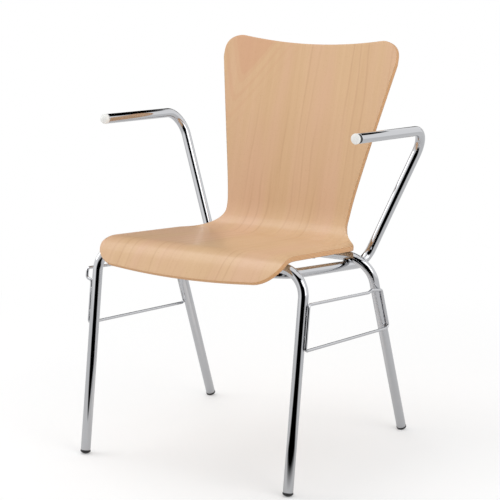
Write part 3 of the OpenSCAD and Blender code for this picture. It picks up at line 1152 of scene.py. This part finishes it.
@dataclass
class ArmTube:
    """The long tube that makes both arms, both posts, both rails and the cross piece.

    Attributes:
        arm_bend: the bend radius at the arms' rear corners.
        post_bend: the bend radius at the posts' feet.
        rail_bend: the bend radius at the cross piece's ends.
    """

    arm_bend: float = 0.050
    post_bend: float = 0.036
    rail_bend: float = 0.055

    def build(self) -> None:
        """Bends the tube and dresses it in chrome."""
        corners = mirrored((PLAN.arm_tip, PLAN.arm_corner, PLAN.post_foot, PLAN.rail_corner))
        half = (0, self.arm_bend, self.post_bend, self.rail_bend)
        route = Route(corners, (*half, *reversed(half)))
        piece = Tube("arm_and_rail_tube_body", route, PLAN.tube, PLAN.bore, roll=0.0012).build()
        Bench.hand_over(piece, "chrome_tube", [CHROME_TUBE], "arm_and_rail_tube")


@dataclass
class ArmCap:
    """A white cap in the front end of an arm, with a black band of painted shade next to the tube.

    Attributes:
        side: the side that it is on.
        shade_band: the length of the black band between the tube and its white nose, painted shade for
            the dark gap at the tube's end.
        proud: how far it stands proud of the tube.
        reach: how far it reaches past the tube.
        plug: the length of its plug.
        sunk: how far its band lies below the tube's surface.
        edge: how far past the band the nose's rear edge starts and ends.
        shoulder: the least length of the nose before it rounds off.
        steps: how many rings round off its nose.
        tip: the radius of the tiny flat at its tip, as a share of its own.
        tip_back: how far that flat lies behind the nose's reach.
    """

    side: Side
    shade_band: float
    proud: float = 0.0004
    reach: float = 0.0134
    plug: float = 0.018
    sunk: float = 0.0006
    edge: Point = (0.0003, 0.0007)
    shoulder: float = 0.001
    steps: int = 9
    tip: float = 0.04
    tip_back: float = 0.00001

    def build(self) -> None:
        """Turns the cap and dresses its nose in white and its band in black, which paints the shade of
        the gap at the tube's end.
        """
        radius = PLAN.tube + self.proud
        nose = min(radius, self.reach - self.shade_band - self.shoulder)
        quarter = [math.pi / 2 * step / self.steps for step in range(1, self.steps)]
        rings = [
            *reversed(PLAN.plug(-PLAN.fit, -self.plug)),
            (0.0, PLAN.tube - self.sunk),
            (self.shade_band, PLAN.tube - self.sunk),
            (self.shade_band + self.edge[0], radius - self.edge[0]),
            (self.shade_band + self.edge[1], radius),
            (self.reach - nose, radius),
            *((self.reach - nose + nose * math.sin(a), radius * math.cos(a)) for a in quarter),
            (self.reach - self.tip_back, radius * self.tip),
        ]
        tip, corner = self.side.put(PLAN.arm_tip), self.side.put(PLAN.arm_corner)
        outward = (tip - corner).normalized()
        name = f"{self.side.name.lower()}_arm_cap"
        piece = Turning(f"{name}_body", rings).build(lathe_place(tip, outward))
        # Painted shade: the faces within the band take the black plastic and stand in for the dark gap at
        # the tube's end.
        for face in piece.data.polygons:
            face.material_index = int((face.center - tip).dot(outward) < self.shade_band)
        Bench.smooth(piece)
        Bench.hand_over(piece, "white_plastic", [WHITE_CAP, BLACK_FOOT_AND_SHADE_BAND], name)


@dataclass
class Foot:
    """A black foot plugged into a leg.

    Attributes:
        name: the node that it stands for.
        leg: its leg, on the +X side.
        side: the side that it is on.
        plug: the length of its plug.
        chamfer: the chamfer of its upper edge.
        steps: how many rings make its dome.
        tip: the radius of the tiny flat under its dome, as a share of the first ring's.
    """

    name: str
    leg: Leg
    side: Side
    plug: float = 0.018
    chamfer: float = 0.0003
    steps: int = 8
    tip: float = 0.1

    def build(self) -> None:
        """Turns the foot and cuts its sole flat at the floor."""
        leg = self.leg
        edge = math.asin(leg.rim / leg.dome)
        dome = [edge * step / self.steps for step in range(1, self.steps)]
        top = leg.rim_low + leg.rim_height
        rings = [
            (-leg.dome, leg.dome * math.sin(edge / self.steps) * self.tip),
            *((-leg.dome * math.cos(a), leg.dome * math.sin(a)) for a in dome),
            (leg.rim_low, leg.rim),
            (top - self.chamfer, leg.rim),
            (top, leg.rim - self.chamfer),
            *PLAN.plug(top, top + self.plug),
        ]
        place = lathe_place(self.side.put(leg.dome_centre), self.side.put(leg.way))
        piece = Turning(f"{self.name}_body", rings).build(place)
        with Bench.editing(piece):
            bpy.ops.mesh.bisect(
                plane_co=(0, 0, 0), plane_no=(0, 0, 1), use_fill=True, clear_inner=True
            )
        Bench.smooth(piece)
        Bench.hand_over(piece, "black_plastic", [BLACK_FOOT_AND_SHADE_BAND], self.name)


@dataclass
class LinkingWires:
    """The two wire frames on the legs' outer sides, drawn on the +X side.

    Attributes:
        fall: the fall of their rails towards the rear, in radians.
        bend: the bend radius.
        plain_low: the height of the plain wire's lower rail at the front leg.
        plain_high: the height of its top rail there.
        plain_rear: the height at which it comes down on the rear leg.
        plain_rail: the length of its top rail.
        crank: the height of its crank.
        hooked_low: the height of the hooked wire's lower rail at the front leg.
        hooked_high: the height at which it leaves the front leg.
        hook_high: the height of its top rail, beside the front leg.
        hooked_rear: the height at which it comes down on the rear leg.
        hooked_rail: the length of its top rail.
        hook_out: how far that rail stands out from the legs.
        hook_in: the share of that distance over which its rear end turns in.
        hook_fall: how far that end falls, for each metre that it runs back.
    """

    fall: float = math.radians(6)
    bend: float = 0.007
    plain_low: float = 0.276
    plain_high: float = 0.363
    plain_rear: float = 0.332
    plain_rail: float = 0.245
    crank: float = 0.004
    hooked_low: float = 0.265
    hooked_high: float = 0.352
    hook_high: float = 0.375
    hooked_rear: float = 0.315
    hooked_rail: float = 0.262
    hook_out: float = 0.0125
    hook_in: float = 0.65
    hook_fall: float = 1.5

    @property
    def run(self) -> Vector:
        """A rail's direction, for each metre that it runs back."""
        return Vector((0, 1, -math.tan(self.fall)))

    def beside(self, leg: Leg, height: float) -> Vector:
        """Gives the wire's centre beside a leg at a height."""
        return leg.at(height) + Vector((PLAN.tube + PLAN.wire + PLAN.gap, 0, 0))

    def rear_low(self, height: float) -> float:
        """Gives the height of a lower rail at the rear leg from its height at the front leg."""
        run = PLAN.rear_leg.top.y - PLAN.front_leg.top.y + 2 * PLAN.tube
        return height - math.tan(self.fall) * run

    def plain_corners(self) -> tuple[Vector, ...]:
        """Draws the plain wire.

        Returns:
            Its corners, from the lower rail's front end, up and back.
        """
        front, rear = PLAN.front_leg, PLAN.rear_leg
        crank = self.beside(front, self.plain_high) + self.plain_rail * self.run
        return (
            self.beside(front, self.plain_low),
            self.beside(front, self.plain_high),
            crank,
            crank + 3 * self.crank * self.run + Vector((0, 0, self.crank)),
            self.beside(rear, self.plain_rear),
            self.beside(rear, self.rear_low(self.plain_low)),
        )

    def hooked_corners(self) -> tuple[Vector, ...]:
        """Draws the hooked wire.

        Returns:
            Its corners, from the lower rail's front end, up and back.
        """
        front, rear = PLAN.front_leg, PLAN.rear_leg
        out = Vector((self.hook_out, 0, 0))
        end = self.beside(front, self.hook_high) + out + self.hooked_rail * self.run
        return (
            self.beside(front, self.hooked_low),
            self.beside(front, self.hooked_high),
            self.beside(front, self.hooked_high) + out + Vector((0, 0, PLAN.wire)),
            self.beside(front, self.hook_high) + out,
            end,
            end - self.hook_in * out + 2 * self.bend * Vector((0, 1, -self.hook_fall)),
            self.beside(rear, self.hooked_rear),
            self.beside(rear, self.rear_low(self.hooked_low)),
        )

    def build(self) -> None:
        """Bends both wires and dresses them in chrome."""
        drawn = (
            ("plain_linking_wire", self.plain_corners(), Side.LEFT),
            ("hooked_linking_wire", self.hooked_corners(), Side.RIGHT),
        )
        for node, corners, side in drawn:
            route = Route(tuple(side.put(c) for c in corners), (self.bend,) * len(corners))
            piece = Tube(f"{node}_body", route, PLAN.wire, sides=24).build()
            Bench.hand_over(piece, "chrome_wire", [CHROME_WIRE], node)


@dataclass
class SeatShell:
    """The moulded plywood shell, whose sizes are in metres along and across the sheet.

    Attributes:
        thickness: the plywood's thickness.
        lip: the length of the curved front lip.
        lip_angle: the slope of the front edge.
        seat: the distance from the front edge to the start of the back's bend.
        bend: the length of that bend.
        back_angle: the angle between the seat and the foot of the back.
        sweep: how much the back leans further at its top.
        length: the whole length.
        front_rest: where the front bar carries the shell.
        pad: the thickness of the pads under it.
        seat_half: half the seat's width.
        flare: how much wider each side is at the front.
        ear: where the sides start to draw in.
        waist: where the shell is narrowest.
        waist_half: half its width there.
        top_half: half its width at the top.
        waist_round: how softly the waist opens.
        front_corner: the radius of the front corners.
        bulge: how far the front edge swells forward.
        top_corner: the radius of the top corners.
        dip: how far the top edge dips.
        hollow: the hollow of the back across its top.
        end_run: how far past its corners the sheet's rows follow an end's outline.
        end_rows: how many rows follow each end's outline.
        curve_row: the distance between two rows where the sheet is bent.
        seat_row: the distance between two rows of the seat.
        back_row: the distance between two rows of the back.
        corner_columns: how many columns go round each corner.
        middle_columns: how many spaces lie between the corners' columns.
        edge_round: the width of the rounding of its edges.
        trace_step: the step in which the side profile is traced.
    """

    thickness: float = 0.0095
    lip: float = 0.098
    lip_angle: float = math.radians(56)
    seat: float = 0.335
    bend: float = 0.132
    back_angle: float = math.radians(80)
    sweep: float = math.radians(3)
    length: float = 0.812
    front_rest: float = 0.076
    pad: float = 0.0025
    seat_half: float = 0.208
    flare: float = 0.006
    ear: float = 0.322
    waist: float = 0.427
    waist_half: float = 0.147
    top_half: float = 0.220
    waist_round: float = 0.1
    front_corner: float = 0.056
    bulge: float = 0.014
    top_corner: float = 0.051
    dip: float = 0.012
    hollow: float = 0.014
    end_run: float = 0.03
    end_rows: int = 14
    curve_row: float = 0.004
    seat_row: float = 0.016
    back_row: float = 0.012
    corner_columns: int = 12
    middle_columns: int = 26
    edge_round: float = 0.0012
    trace_step: float = 0.002

    @staticmethod
    def ease(share: float) -> float:
        """Goes from 0 to 1 with a soft start and end."""
        share = max(0.0, min(1.0, share))
        return share * share * (3 - 2 * share)

    def slope(self, s: float) -> float:
        """Gives the side profile's slope.

        Args:
            s: the distance along the profile.

        Returns:
            The slope there, in radians.
        """
        bend_end = self.seat + self.bend
        if s < self.seat:
            return self.lip_angle * (1 - self.ease(s / self.lip))
        if s < bend_end:
            return self.back_angle * self.ease((s - self.seat) / self.bend)
        return self.back_angle - self.sweep * (s - bend_end) / (self.length - bend_end)

    @cached_property
    def trace(self) -> list[Point]:
        """The side profile, before the shell is laid on its bars.

        Returns:
            Its points, a step apart, each as y and z.
        """
        s, y, z = -2 * self.bulge, 0.0, 0.0
        points = []
        while s < self.length + 2 * self.trace_step:
            points.append((y, z))
            middle = self.slope(s + self.trace_step / 2)
            y += self.trace_step * math.cos(middle)
            z += self.trace_step * math.sin(middle)
            s += self.trace_step
        return points

    def profile(self, s: float) -> complex:
        """Gives the side profile's point.

        Args:
            s: the distance along the profile.

        Returns:
            The point there, with y as the real part and z as the imaginary one.
        """
        place = (s + 2 * self.bulge) / self.trace_step
        index = max(0, min(len(self.trace) - 2, int(place)))
        (y0, z0), (y1, z1) = self.trace[index], self.trace[index + 1]
        share = place - index
        return complex(y0 + (y1 - y0) * share, z0 + (z1 - z0) * share)

    def upward(self, s: float) -> complex:
        """Gives the direction out of the sitting face, before the shell is laid."""
        return complex(-math.sin(self.slope(s)), math.cos(self.slope(s)))

    def bar_under(self, s: float) -> complex:
        """Gives the centre of a bar that carries the shell at a distance along it."""
        return self.profile(s) - (self.thickness + self.pad + PLAN.tube) * self.upward(s)

    @cached_property
    def laying(self) -> tuple[complex, complex]:
        """The turn and the shift that lay the profile on the two bars.

        Returns:
            The turn, as a factor, and the shift that follows it.
        """
        front = complex(PLAN.front_leg.top.y, PLAN.front_leg.top.z)
        rear = complex(PLAN.rear_leg.top.y, PLAN.rear_leg.top.z)
        rest = self.front_rest + abs(rear - front)
        rounds = 9
        for _ in range(rounds):
            rest += abs(rear - front) - abs(self.bar_under(rest) - self.bar_under(self.front_rest))
        span = self.bar_under(rest) - self.bar_under(self.front_rest)
        turn = (rear - front) / span
        turn /= abs(turn)
        return turn, front - turn * self.bar_under(self.front_rest)

    def half_width(self, s: float) -> float:
        """Gives half the sheet's width.

        Args:
            s: the distance along the sheet.

        Returns:
            Half the width there.
        """
        if s < self.ear:
            return self.seat_half + self.flare * max(0.0, 1 - s / self.lip) ** 2
        if s < self.waist:
            share = self.ease((s - self.ear) / (self.waist - self.ear))
            return self.seat_half + (self.waist_half - self.seat_half) * share
        k = (s - self.waist) / (self.length - self.waist)
        opening = math.hypot(k, self.waist_round) - self.waist_round
        whole = math.hypot(1, self.waist_round) - self.waist_round
        return self.waist_half + (self.top_half - self.waist_half) * opening / whole

    @property
    def front_half(self) -> float:
        """Half the sheet's width at the front corners."""
        return self.seat_half + self.flare

    def front_edge(self, x: float) -> float:
        """Gives where the front edge lies.

        Args:
            x: the distance across, from the middle.

        Returns:
            The distance along the sheet.
        """
        inner = self.front_half - self.front_corner
        if abs(x) < inner:
            return -self.bulge * (1 - (x / self.front_half) ** 2)
        rise = math.sqrt(max(0.0, self.front_corner**2 - (abs(x) - inner) ** 2))
        return self.front_corner_s - rise

    @property
    def front_corner_s(self) -> float:
        """Where the front corners end, along the sheet."""
        inner = self.front_half - self.front_corner
        return self.front_corner - self.bulge * (1 - (inner / self.front_half) ** 2)

    def top_edge(self, x: float) -> float:
        """Gives where the top edge lies.

        Args:
            x: the distance across, from the middle.

        Returns:
            The distance along the sheet.
        """
        inner = self.top_half - self.top_corner
        if abs(x) < inner:
            return self.length - self.dip * (1 - (x / inner) ** 2)
        rise = math.sqrt(max(0.0, self.top_corner**2 - (abs(x) - inner) ** 2))
        return self.length - self.top_corner + rise

    def face_point(self, x: float, s: float) -> tuple[Vector, Vector]:
        """Gives a point of the sitting face.

        Args:
            x: the distance across, from the middle.
            s: the distance along the sheet.

        Returns:
            The point and the direction out of the face, in the middle of the sheet there.
        """
        turn, shift = self.laying
        up = turn * self.upward(s)
        cup = self.hollow * self.ease((s - self.seat) / self.bend) * (x / self.top_half) ** 2
        place = turn * self.profile(s) + shift + cup * up
        return Vector((x, place.real, place.imag)), Vector((0, up.real, up.imag))

    def rows(self) -> list[Row]:
        """Gives the rows of the sheet, each as a rule from a column's place to a distance along.

        Returns:
            The rows, from the front edge to the top edge.
        """
        first = self.front_corner_s + self.end_run
        last = self.length - self.top_corner - self.dip - self.end_run
        ends = self.end_rows
        bend_end = self.seat + self.bend

        def front_row(share: float) -> Row:
            """Gives a row between the front edge and the first straight row."""
            return lambda u: (1 - share) * self.front_edge(u * self.front_half) + share * first

        def top_row(share: float) -> Row:
            """Gives a row between the last straight row and the top edge."""
            return lambda u: (1 - share) * last + share * self.top_edge(u * self.top_half)

        def straight(start: float, end: float, size: float) -> list[Row]:
            """Gives straight rows.

            Args:
                start: the distance along of the first row.
                end: the distance that they run up to.
                size: the most that lies between two rows.

            Returns:
                The rows.
            """
            count = math.ceil((end - start) / size)
            stations = [start + (end - start) * i / count for i in range(count)]
            return [lambda u, s=s: s for s in stations]

        return [
            *(front_row(i / ends) for i in range(ends)),
            *straight(first, self.lip, self.curve_row),
            *straight(self.lip, self.seat, self.seat_row),
            *straight(self.seat, bend_end, self.curve_row),
            *straight(bend_end, last, self.back_row),
            *(top_row(i / ends) for i in range(ends + 1)),
        ]

    def columns(self) -> list[float]:
        """Spaces the columns, closer together round the corners.

        Returns:
            Their places, from -1 to 1.
        """
        inner = (self.front_half - self.front_corner) / self.front_half
        quarter = [math.pi / 2 * i / self.corner_columns for i in range(self.corner_columns + 1)]
        corner = [inner + (1 - inner) * math.sin(angle) for angle in quarter]
        spaces = self.middle_columns
        middle = [inner * (2 * i / spaces - 1) for i in range(1, spaces)]
        return [*(-u for u in reversed(corner)), *middle, *corner]

    def across(self, u: float, s: float) -> float:
        """Gives a column's distance from the middle.

        Args:
            u: the column's place, from -1 to 1.
            s: the distance along the sheet.

        Returns:
            The distance across, there.
        """
        corner_start = self.length - self.top_corner
        width = self.half_width(max(self.front_corner_s, min(corner_start, s)))
        growth = self.top_half / self.half_width(corner_start) - 1
        return u * width * (1 + growth * self.ease((s - corner_start) / self.top_corner))

    def build(self) -> None:
        """Lays a grid as the sitting face, gives it its thickness and dresses it."""
        rows, columns = self.rows(), self.columns()
        Bench.clear()
        bpy.ops.mesh.primitive_grid_add(
            x_subdivisions=len(columns) - 1, y_subdivisions=len(rows) - 1, size=1
        )
        piece = Bench.started("seat_shell_body")
        sheet = self._lay(piece, rows, columns)
        sheet_map = piece.data.uv_layers.active
        sheet_map.name = SHEET_MAP
        for loop in piece.data.loops:
            sheet_map.data[loop.index].uv = sheet[loop.vertex_index]
        finishes = [VENEER, PLY_EDGE]
        for finish in finishes:
            piece.data.materials.append(finish.material())
        Bench.apply(
            piece, "SOLIDIFY", thickness=self.thickness, offset=-1, use_rim=True, material_offset_rim=1
        )
        self._round_edges(piece)
        self._note_depth(piece)
        Bench.smooth(piece, degrees=40.0)
        Bench.hand_over(piece, "beech_plywood", finishes, "seat_shell")

    def _lay(
        self,
        piece: bpy.types.Object,
        rows: Sequence[Row],
        columns: Sequence[float],
    ) -> list[Point]:
        """Lays a flat grid's vertices on the sitting face.

        Args:
            piece: the grid.
            rows: its rows.
            columns: its columns.

        Returns:
            Each vertex's place on the sheet, across and along.
        """
        sheet = []
        for vertex in piece.data.vertices:
            u = columns[round((vertex.co.x + 0.5) * (len(columns) - 1))]
            s = rows[round((vertex.co.y + 0.5) * (len(rows) - 1))](u)
            x = self.across(u, s)
            vertex.co = self.face_point(x, s)[0]
            sheet.append((x, s))
        return sheet

    def _round_edges(self, piece: bpy.types.Object) -> None:
        """Bevels the edges where the faces meet the sheet's rim.

        Args:
            piece: the shell, with its thickness.
        """
        with Bench.editing(piece):
            bpy.ops.mesh.select_all(action="DESELECT")
            bpy.ops.mesh.select_mode(type="FACE")
            bpy.ops.object.mode_set(mode="OBJECT")
            for face in piece.data.polygons:
                face.select = face.material_index == 1
            bpy.ops.object.mode_set(mode="EDIT")
            bpy.ops.mesh.region_to_loop()
            bpy.ops.mesh.bevel(offset=self.edge_round, segments=3, affect="EDGES")

    def _note_depth(self, piece: bpy.types.Object) -> None:
        """Notes each vertex's depth below the sitting face, as a share of the thickness.

        Args:
            piece: the finished shell.
        """
        mesh = piece.data
        place = {}
        for loop in mesh.loops:
            place.setdefault(loop.vertex_index, mesh.uv_layers[SHEET_MAP].data[loop.index].uv[:])
        depth = mesh.attributes.new(DEPTH_NOTE, "FLOAT", "POINT")
        for vertex in mesh.vertices:
            point, up = self.face_point(*place[vertex.index])
            depth.data[vertex.index].value = (point - vertex.co).dot(up) / self.thickness


@dataclass(frozen=True)
class Kept:
    """A node whose own solid is right, and only takes a finish.

    Attributes:
        node: the node.
        slot: the record's material slot.
        finish: its finish.
    """

    node: str
    slot: str
    finish: Finish

    def build(self) -> None:
        """Merges a copy of the solid, shades it and dresses it."""
        piece = Bench.copy_of(self.node, f"{self.node}_body")
        Bench.hand_over(piece, self.slot, [self.finish], self.node)


# ----------------------------------------------------------------------------------------------
# The studio
# ----------------------------------------------------------------------------------------------


@dataclass(frozen=True)
class Backdrop(Finish):
    """A white floor that fades into the white behind it.

    Attributes:
        colour: the floor's colour.
        near: how far from the middle it starts to fade.
        far: how far from the middle it has faded to white.
        glow: the share of white under the chair, which lightens its shadow.
    """

    colour: Colour = rgb(252, 252, 252)
    near: float = 0.4
    far: float = 1.5
    glow: float = 0.25

    def write(self, graph: Graph) -> None:
        """Writes the floor, with plain white where it is far off.

        Args:
            graph: the material's empty tree.
        """
        place = graph.node("ShaderNodeTexCoord", None, None, "Object")
        reach = graph.vector("LENGTH", place, out="Value")
        matt = graph.node("ShaderNodeBsdfDiffuse", None, {"Color": self.colour})
        white = graph.node("ShaderNodeEmission", None, {"Color": (1, 1, 1, 1), "Strength": 1.0})
        fade = reach.ramp(self.near, self.far) * (1.0 - self.glow) + self.glow
        share = fade * graph.seen_rays()
        graph.node_end(
            "ShaderNodeOutputMaterial",
            graph.node("ShaderNodeMixShader", None, {0: share, 1: matt, 2: white}),
        )


@dataclass(frozen=True)
class Flag:
    """One flag on the bowl round the chair. Its angles are in degrees.

    Attributes:
        bearing: the bearing of its middle, from the front towards +X.
        half: half the angle over which it is at its darkest.
        feather: the angle over which each side fades.
        depth: how dark it is, from 0 to 1.
        low: the height of its lower edge.
        high: the height of its upper edge.
        near: how near the chair it reaches along the floor.
        fade: the distance over which its upper, lower and near edges fade.
    """

    bearing: float
    half: float
    feather: float
    depth: float = 1.0
    low: float = -1.0
    high: float = 9.0
    near: float = 2.6
    fade: float = 0.3


@dataclass(frozen=True)
class FlagBowl(Finish):
    """A clear bowl with black and grey flags, which only shine and metal see.

    Attributes:
        radius: the bowl's radius.
        height: the height of its wall.
        flags: its flags.
        sides: how many faces go round it.
        lift: how far its floor lies over the studio's.
        hole: the width of the hole in its floor, as a share of its own.
    """

    radius: float
    height: float
    flags: tuple[Flag, ...]
    sides: int = 96
    lift: float = 0.0005
    hole: float = 0.01

    def write(self, graph: Graph) -> None:
        """Writes the flags, dark inside and feathered at their edges.

        Args:
            graph: the material's empty tree.
        """
        place = graph.node("ShaderNodeTexCoord", None, None, "Object")
        height = graph.parts(place)[2]
        level = graph.vector("MULTIPLY", place, (1.0, 1.0, 0.0))
        away = graph.vector("LENGTH", level, out="Value")
        way = graph.vector("NORMALIZE", level)
        share: Value = 0.0
        for flag in self.flags:
            turn = math.radians(flag.bearing)
            facing = graph.vector("DOT_PRODUCT", way, (math.sin(turn), -math.cos(turn), 0.0), out="Value")
            edge = math.radians(flag.half), math.radians(flag.half + flag.feather)
            dark = (1.0 - graph.math("ARCCOSINE", facing).ramp(*edge)) * flag.depth
            dark = dark * height.ramp(flag.low, flag.low + flag.fade)
            dark = dark * (1.0 - height.ramp(flag.high - flag.fade, flag.high))
            dark = dark * away.ramp(flag.near, flag.near + flag.fade)
            share = graph.math("MAXIMUM", share, dark)
        black = graph.node("ShaderNodeEmission", None, {"Color": (0, 0, 0, 1), "Strength": 0.0})
        clear = graph.node("ShaderNodeBsdfTransparent")
        graph.node_end(
            "ShaderNodeOutputMaterial",
            graph.node("ShaderNodeMixShader", None, {0: share, 1: clear, 2: black}),
        )

    def stand(self) -> None:
        """Stands the bowl round the chair, open at the top, with its floor just over the studio's."""
        Bench.clear()
        bpy.ops.mesh.primitive_cylinder_add(
            vertices=self.sides,
            radius=self.radius,
            depth=self.height,
            end_fill_type="NOTHING",
            location=(0, 0, self.height / 2 + self.lift),
        )
        bowl = Bench.started("flag_bowl")
        with Bench.editing(bowl):
            Bench.pick(bowl, lambda co: co.z < self.height / 2)
            bpy.ops.mesh.extrude_region_move()
            bpy.ops.transform.resize(value=(self.hole, self.hole, 1))
        bowl.data.materials.append(self.material())
        for view in ("visible_camera", "visible_diffuse", "visible_shadow", "visible_transmission"):
            setattr(bowl, view, False)


@dataclass(frozen=True)
class Lamp:
    """A square soft lamp that points at the chair.

    Attributes:
        name: its name.
        place: where it hangs.
        size: its width.
        power: its power, in watts.
    """

    name: str
    place: Vector
    size: float
    power: float


@dataclass
class Studio:
    """The floor, the flags, the lamps and the world.

    Attributes:
        floor_size: the floor's width.
        floor_drop: how far the floor lies under the feet.
        bowl: the bowl that carries the flags.
        lamps: the lamps.
        lamp_aim: the height on the chair's axis that the lamps point at.
        daylight: how bright the world is to a matt surface.
    """

    floor_size: float = 60.0
    floor_drop: float = 0.0002
    bowl: FlagBowl = FlagBowl(
        "flag_bowl_black",
        radius=3.0,
        height=4.0,
        flags=(
            Flag(32.0, 32.0, 20.0, near=0.3),
            Flag(180.0, 24.0, 6.0, low=2.28, fade=0.1),
            Flag(-140.0, 20.0, 6.0, low=1.25, fade=0.2),
            Flag(-149.0, 18.0, 10.0, low=0.3, high=1.7),
            Flag(-128.0, 14.0, 8.0, depth=0.3),
            Flag(172.0, 6.0, 9.0, depth=0.3, high=1.3),
            Flag(-60.0, 50.0, 30.0, depth=0.2, high=0.35, near=0.0),
            Flag(0.0, 180.0, 1.0, depth=0.25, high=0.35, near=0.0),
        ),
    )
    lamps: Sequence[Lamp] = (
        Lamp("key", Vector((-3.4, -1.2, 1.9)), size=2.4, power=30.0),
        Lamp("fill", Vector((2.9, -0.8, 1.7)), size=2.4, power=32.0),
        Lamp("top", Vector((-1.0, 0.1, 2.7)), size=1.4, power=15.0),
    )
    lamp_aim: float = 0.45
    daylight: float = 0.72

    def build(self) -> None:
        """Sets up the studio."""
        self._lay_floor()
        self.bowl.stand()
        for lamp in self.lamps:
            self._hang_lamp(lamp)
        self._light_world()

    def _lay_floor(self) -> None:
        """Lays the floor just under the feet."""
        Bench.clear()
        bpy.ops.mesh.primitive_plane_add(size=self.floor_size, location=(0, 0, -self.floor_drop))
        floor = Bench.started("floor")
        floor.data.materials.append(Backdrop("floor_white").material())

    def _hang_lamp(self, plan: Lamp) -> None:
        """Hangs a lamp and points it at the chair.

        Args:
            plan: the lamp's name, place, size and power.
        """
        light = bpy.data.lights.new(plan.name, "AREA")
        light.shape = "SQUARE"
        light.size = plan.size
        light.energy = plan.power
        lamp = bpy.data.objects.new(plan.name, light)
        lamp.location = plan.place
        down = Vector((0, 0, self.lamp_aim)) - plan.place
        lamp.rotation_euler = down.to_track_quat("-Z", "Y").to_euler()
        bpy.context.scene.collection.objects.link(lamp)

    def _light_world(self) -> None:
        """Makes the world white to the camera and to metal, and softer to matt surfaces."""
        world = bpy.data.worlds.new("studio")
        world.use_nodes = True
        bpy.context.scene.world = world
        graph = Graph(world.node_tree)
        strength = graph.seen_rays() * (1.0 - self.daylight) + self.daylight
        sockets = {"Color": (1, 1, 1, 1), "Strength": strength}
        graph.node_end("ShaderNodeOutputWorld", graph.node("ShaderNodeBackground", None, sockets))


@dataclass
class Viewpoint:
    """The camera.

    Attributes:
        place: where it stands.
        aim: the point in the middle of its picture.
        lens: its focal length, in millimetres on a 36 mm sensor.
    """

    place: Vector = Vector((1.656, -2.717, 1.065))
    aim: Vector = Vector((0.0, 0.0, 0.405))
    lens: float = 114.0

    def build(self) -> None:
        """Stands the camera and makes it the scene's own."""
        data = bpy.data.cameras.new("camera")
        data.lens = self.lens
        data.sensor_width = 36.0
        camera = bpy.data.objects.new("camera", data)
        camera.location = self.place
        camera.rotation_euler = (self.aim - self.place).to_track_quat("-Z", "Y").to_euler()
        bpy.context.scene.collection.objects.link(camera)
        bpy.context.scene.camera = camera


def main() -> None:
    """Builds the chair and its studio."""
    logging.basicConfig(level=logging.INFO, format="%(name)s: %(message)s")
    bpy.context.scene.view_settings.view_transform = "Standard"
    front, rear = PLAN.front_leg, PLAN.rear_leg
    parts = (
        Viewpoint(),
        SeatShell(),
        LegTube("front_leg_tube_body", "front_leg_tube", front, bend=0.052),
        LegTube("rear_leg_tube_body", "rear_leg_tube", rear, bend=0.057),
        ArmTube(),
        LinkingWires(),
        # Each cap's black band is painted shade at the tube's end, longer on the left cap.
        ArmCap(Side.LEFT, shade_band=0.009),
        ArmCap(Side.RIGHT, shade_band=0.0012),
        Foot("front_left_foot", front, Side.LEFT),
        Foot("front_right_foot", front, Side.RIGHT),
        Foot("rear_left_foot", rear, Side.LEFT),
        Foot("rear_right_foot", rear, Side.RIGHT),
        Kept("spine_tube", "chrome_tube", CHROME_TUBE),
        Kept("front_seat_pads", "grey_plastic", GREY_PAD),
        Kept("rear_seat_pads", "grey_plastic", GREY_PAD),
        Kept("spine_seat_pads", "grey_plastic", GREY_PAD),
        Kept("rear_seat_screws", "zinc_steel", ZINC),
        Kept("spine_seat_screws", "zinc_steel", ZINC),
        Kept("screw_washers", "zinc_steel", ZINC),
        Kept("threaded_inserts", "brass", BRASS),
        Kept("front_bar_welds", "weld_metal", CHROME_WELD),
        Kept("rear_bar_welds", "weld_metal", CHROME_WELD),
        Kept("linking_wire_welds", "weld_metal", CHROME_WELD),
        Studio(),
    )
    for part in parts:
        part.build()


if __name__ == "__main__":
    main()
